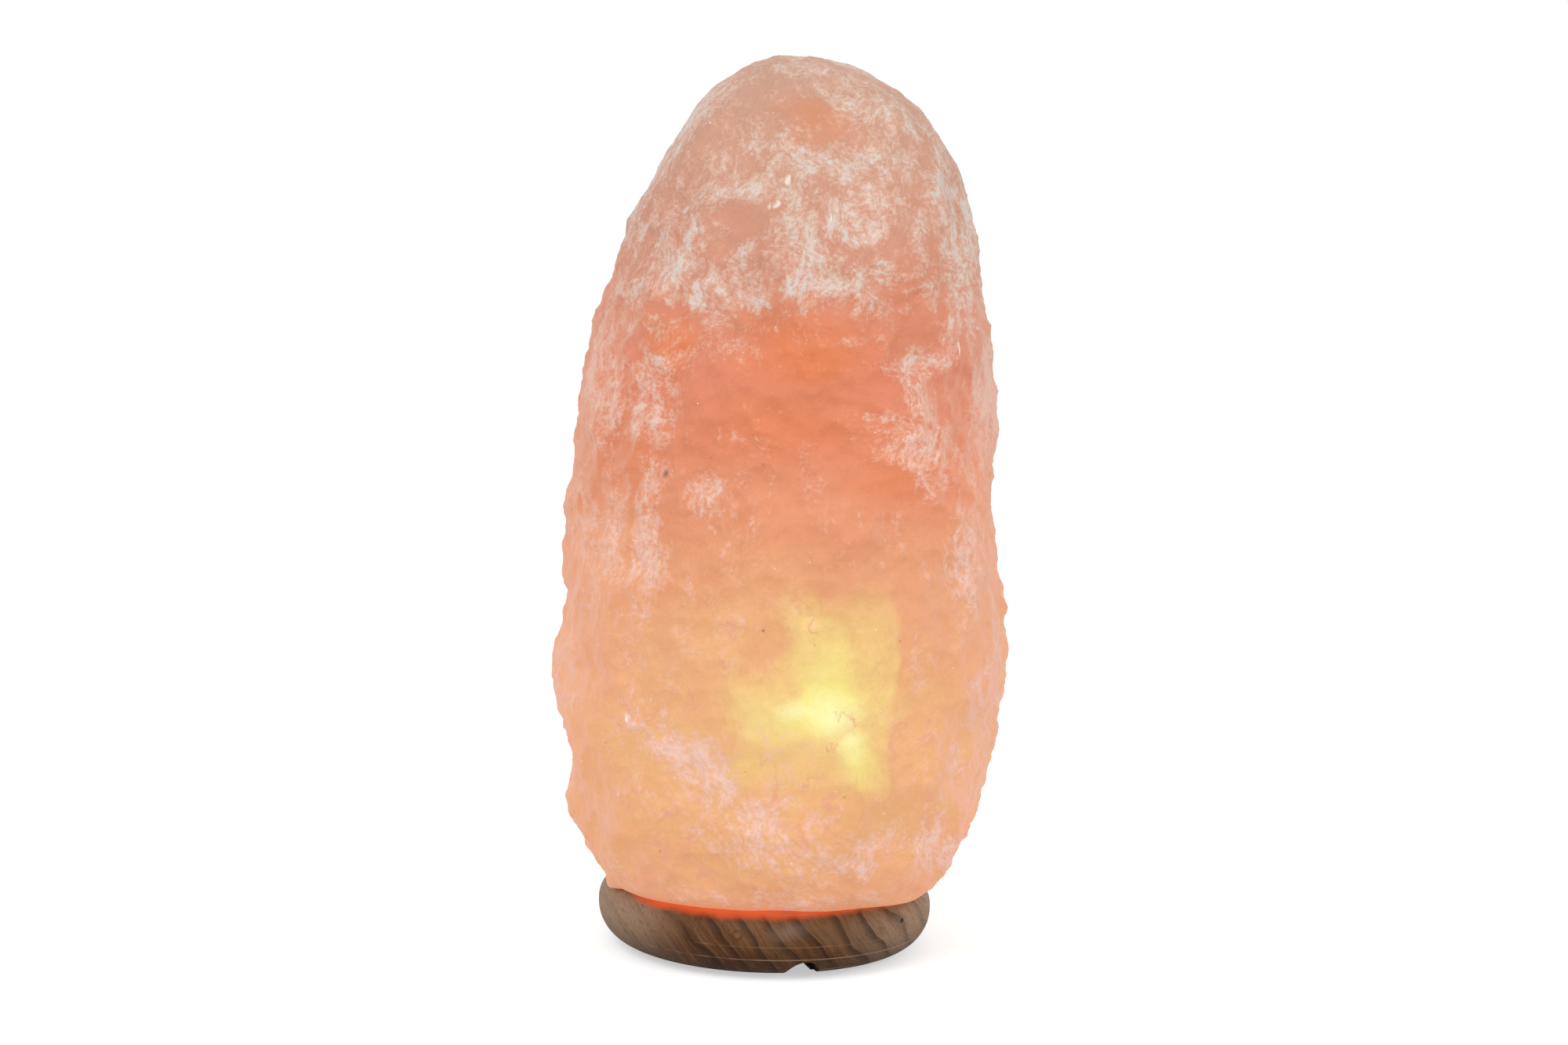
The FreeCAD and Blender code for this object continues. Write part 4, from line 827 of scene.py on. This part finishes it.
def feltMaterial():
    material, tree, shader, place = newSurface("darkFelt")
    matted = wander(tree, place, 0.0016, 0.0016, 3.0)
    hairs = cloud(tree, stretched(tree, matted, (1, 0.16, 1)), 0.00045, 3.0, 0.6)
    crossed = cloud(tree, stretched(tree, matted, (0.16, 1, 1)), 0.00045, 3.0, 0.6)
    fluff = calc(tree, "MAXIMUM", hairs, crossed)
    wear = cloud(tree, place, 0.014, 3.0)
    paint = fittingColours
    colour = blend(tree, fade(tree, fluff, 0.45, 0.75), paint["felt"], paint["feltHair"])
    colour = blend(tree, fade(tree, wear, 0.50, 0.75, 0.0, 0.4), colour, paint["feltWorn"])
    feed(tree, shader.inputs["Base Color"], colour)
    shader.inputs["Roughness"].default_value = 0.95
    shader.inputs["Sheen Weight"].default_value = 0.35
    shader.inputs["Sheen Roughness"].default_value = 0.6
    bumpUp(tree, shader, fluff, 0.0003, 0.9)
    return material


def steatiteMaterial():
    material, tree, shader, place = newSurface("steatite")
    body = cloud(tree, place, 0.005, 4.0, 0.6)
    flecks = fade(tree, cells(tree, place, 0.0014), 0.16, 0.08, 0.0, 0.3)
    paint = fittingColours
    colour = blend(tree, fade(tree, body, 0.35, 0.70), paint["steatite"], paint["steatiteShade"])
    feed(tree, shader.inputs["Base Color"], blend(tree, flecks, colour, paint["steatiteFleck"]))
    feed(tree, shader.inputs["Roughness"], fade(tree, body, 0.3, 0.7, 0.35, 0.55))
    bumpUp(tree, shader, cloud(tree, place, 0.0006, 3.0), 0.00005, 0.7)
    return material


def solderMaterial():
    material, tree, shader, place = newSurface("solder")
    frosted = cloud(tree, place, 0.0009, 4.0, 0.65)
    dull = fade(tree, frosted, 0.4, 0.65)
    colour = blend(tree, dull, fittingColours["solder"], fittingColours["solderDull"])
    feed(tree, shader.inputs["Base Color"], colour)
    shader.inputs["Metallic"].default_value = 1.0
    feed(tree, shader.inputs["Roughness"], fade(tree, frosted, 0.35, 0.65, 0.22, 0.5))
    bumpUp(tree, shader, frosted, 0.00008, 0.7)
    return material


def blackGlassMaterial():
    material, tree, shader, place = newSurface("blackGlass")
    swirl = cloud(tree, place, 0.004, 4.0, 0.6, 1.0)
    share = fade(tree, swirl, 0.45, 0.70)
    colour = blend(tree, share, fittingColours["blackGlass"], fittingColours["blackGlassSwirl"])
    feed(tree, shader.inputs["Base Color"], colour)
    feed(tree, shader.inputs["Roughness"], fade(tree, swirl, 0.3, 0.7, 0.05, 0.16))
    shader.inputs["IOR"].default_value = 1.52
    bumpUp(tree, shader, swirl, 0.00005, 0.4)
    return material


def clearGlassMaterial():
    material, tree, shader, place = newSurface("clearGlass")
    ripple = cloud(tree, place, 0.012, 2.0)
    dust = cloud(tree, place, 0.0015, 4.0, 0.65)
    share = fade(tree, dust, 0.55, 0.80, 0.0, 0.5)
    colour = blend(tree, share, fittingColours["clearGlass"], fittingColours["clearGlassDust"])
    feed(tree, shader.inputs["Base Color"], colour)
    feed(tree, shader.inputs["Roughness"], fade(tree, dust, 0.5, 0.8, 0.01, 0.08))
    shader.inputs["Transmission Weight"].default_value = 1.0
    shader.inputs["IOR"].default_value = 1.50
    bumpUp(tree, shader, ripple, 0.0003, 0.4)
    return material


def filamentMaterial():
    material, tree, shader, place = newSurface("hotTungsten")
    heat = cloud(tree, place, 0.002, 3.0)
    paint = fittingColours
    feed(tree, shader.inputs["Base Color"], blend(tree, heat, paint["tungsten"], paint["tungstenPale"]))
    shader.inputs["Metallic"].default_value = 1.0
    shader.inputs["Roughness"].default_value = 0.45
    glow = blend(tree, fade(tree, heat, 0.3, 0.7), paint["glowDeep"], paint["glowBright"])
    feed(tree, shader.inputs["Emission Color"], glow)
    shader.inputs["Emission Strength"].default_value = 5.0
    bumpUp(tree, shader, heat, 0.00002, 0.5)
    return material


# light, floor and camera

studio = {
    "skyLevel": 0.62,
    "keyLight": {"at": (-0.9, -1.3, 1.5), "size": 1.2, "power": 14},
    "fillLight": {"at": (1.3, -0.9, 0.9), "size": 1.0, "power": 7},
    "floorRadius": 6.0,
    "floorColour": (0.86, 0.86, 0.86, 1),
    "floorLift": 0.50,           # brings the far floor up to the white backdrop, for the camera only
}

shot = {
    "aim": (0.003, 0.0, 0.1541),
    "distance": 1.5,
    "down": 9.087,       # degrees
    "roll": 1.714,       # degrees
    "focal": 5352.5,     # pixels of the picture
    "pictureWidth": 2000,
    "sensor": 36,
}


def lightStudio():
    world = bpy.data.worlds.new("paleRoom")
    scene.world = world
    world.use_nodes = True
    tree = world.node_tree
    tree.nodes.clear()
    output = tree.nodes.new("ShaderNodeOutputWorld")
    backdrop = tree.nodes.new("ShaderNodeBackground")
    backdrop.inputs["Color"].default_value = (1, 1, 1, 1)
    rays = tree.nodes.new("ShaderNodeLightPath")
    seen = calc(tree, "MAXIMUM", rays.outputs["Is Camera Ray"], rays.outputs["Is Transmission Ray"])
    seen = calc(tree, "MAXIMUM", seen, rays.outputs["Is Glossy Ray"])
    level = fade(tree, seen, 0.0, 1.0, studio["skyLevel"], 1.0)
    feed(tree, backdrop.inputs["Strength"], level)
    tree.links.new(backdrop.outputs[0], output.inputs["Surface"])
    for name in ("keyLight", "fillLight"):
        values = studio[name]
        light = bpy.data.lights.new(name, "AREA")
        light.size = values["size"]
        light.energy = values["power"]
        lamp = bpy.data.objects.new(name, light)
        scene.collection.objects.link(lamp)
        lamp.location = values["at"]
        aim = Vector(shot["aim"]) - lamp.location
        lamp.rotation_euler = aim.to_track_quat("-Z", "Y").to_euler()


def layFloor():
    bpy.ops.object.select_all(action="DESELECT")
    bpy.ops.mesh.primitive_circle_add(vertices=96, radius=studio["floorRadius"], fill_type="NGON")
    floor = bpy.context.object
    floor.name = "studioFloor"
    material = bpy.data.materials.new("paleFloor")
    material.use_nodes = True
    tree = material.node_tree
    tree.nodes.clear()
    output = tree.nodes.new("ShaderNodeOutputMaterial")
    matt = tree.nodes.new("ShaderNodeBsdfDiffuse")
    matt.inputs["Color"].default_value = studio["floorColour"]
    lift = tree.nodes.new("ShaderNodeEmission")
    rays = tree.nodes.new("ShaderNodeLightPath")
    level = calc(tree, "MULTIPLY", rays.outputs["Is Camera Ray"], studio["floorLift"])
    feed(tree, lift.inputs["Strength"], level)
    both = tree.nodes.new("ShaderNodeAddShader")
    tree.links.new(matt.outputs[0], both.inputs[0])
    tree.links.new(lift.outputs[0], both.inputs[1])
    # clear from below, so that the underside can be looked at
    clear = tree.nodes.new("ShaderNodeBsdfTransparent")
    oneSided = tree.nodes.new("ShaderNodeMixShader")
    tree.links.new(tree.nodes.new("ShaderNodeNewGeometry").outputs["Backfacing"], oneSided.inputs[0])
    tree.links.new(both.outputs[0], oneSided.inputs[1])
    tree.links.new(clear.outputs[0], oneSided.inputs[2])
    tree.links.new(oneSided.outputs[0], output.inputs["Surface"])
    floor.data.materials.append(material)


def placeCamera():
    down, roll = math.radians(shot["down"]), math.radians(shot["roll"])
    forward = Vector((0, math.cos(down), -math.sin(down)))
    level, upright = Vector((1, 0, 0)), Vector((0, math.sin(down), math.cos(down)))
    right = level * math.cos(roll) + upright * math.sin(roll)
    up = upright * math.cos(roll) - level * math.sin(roll)
    spot = Vector(shot["aim"]) - forward * shot["distance"]
    camera = bpy.data.objects.new("camera", bpy.data.cameras.new("camera"))
    scene.collection.objects.link(camera)
    turn = Matrix((right, up, -forward)).transposed()
    camera.matrix_world = Matrix.Translation(spot) @ turn.to_4x4()
    camera.data.sensor_width = shot["sensor"]
    camera.data.lens = shot["sensor"] * shot["focal"] / shot["pictureWidth"]
    camera.data.clip_start = 0.01
    scene.camera = camera


# put it together

boulder = carveSalt()
boulder.data.materials.clear()
boulder.data.materials.append(saltMaterial())
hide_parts("salt_crystal")
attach(boulder, "lamp_body")
print("salt finished")

dress("wood_base", woodMaterial())
dress("felt_ring", feltMaterial())
print("disc and felt finished")

metal = {name: brushedMetal(name, **values) for name, values in metalFinishes.items()}
plastic = {name: mouldedPlastic(name, **values) for name, values in plasticFinishes.items()}
finishes = (
    (metal["zincSteel"], ("base_screws", "nipple_nuts", "cord_nipple", "terminal_screws")),
    (metal["plainBrass"], ("screw_shell", "terminal_blocks")),
    (metal["springBronze"], ("centre_contact", "shell_contact")),
    (metal["springSteel"], ("clip_strap", "clip_arm_left", "clip_arm_right")),
    (metal["nickelledBrass"], ("bulb_screw_cap", "lead_wires")),
    (plastic["greyNylon"], ("salt_plugs",)),
    (plastic["whiteMoulding"], ("holder_cap", "holder_sleeve")),
    (steatiteMaterial(), ("holder_insert",)),
    (solderMaterial(), ("bulb_tip",)),
    (blackGlassMaterial(), ("bulb_insulator",)),
    (clearGlassMaterial(), ("bulb_glass", "bulb_stem")),
    (filamentMaterial(), ("filament",)),
)
for material, nodeNames in finishes:
    for nodeName in nodeNames:
        dress(nodeName, material)
print("holder and bulb finished")

lightStudio()
layFloor()
placeCamera()
scene.view_settings.view_transform = "Standard"
print("studio set")
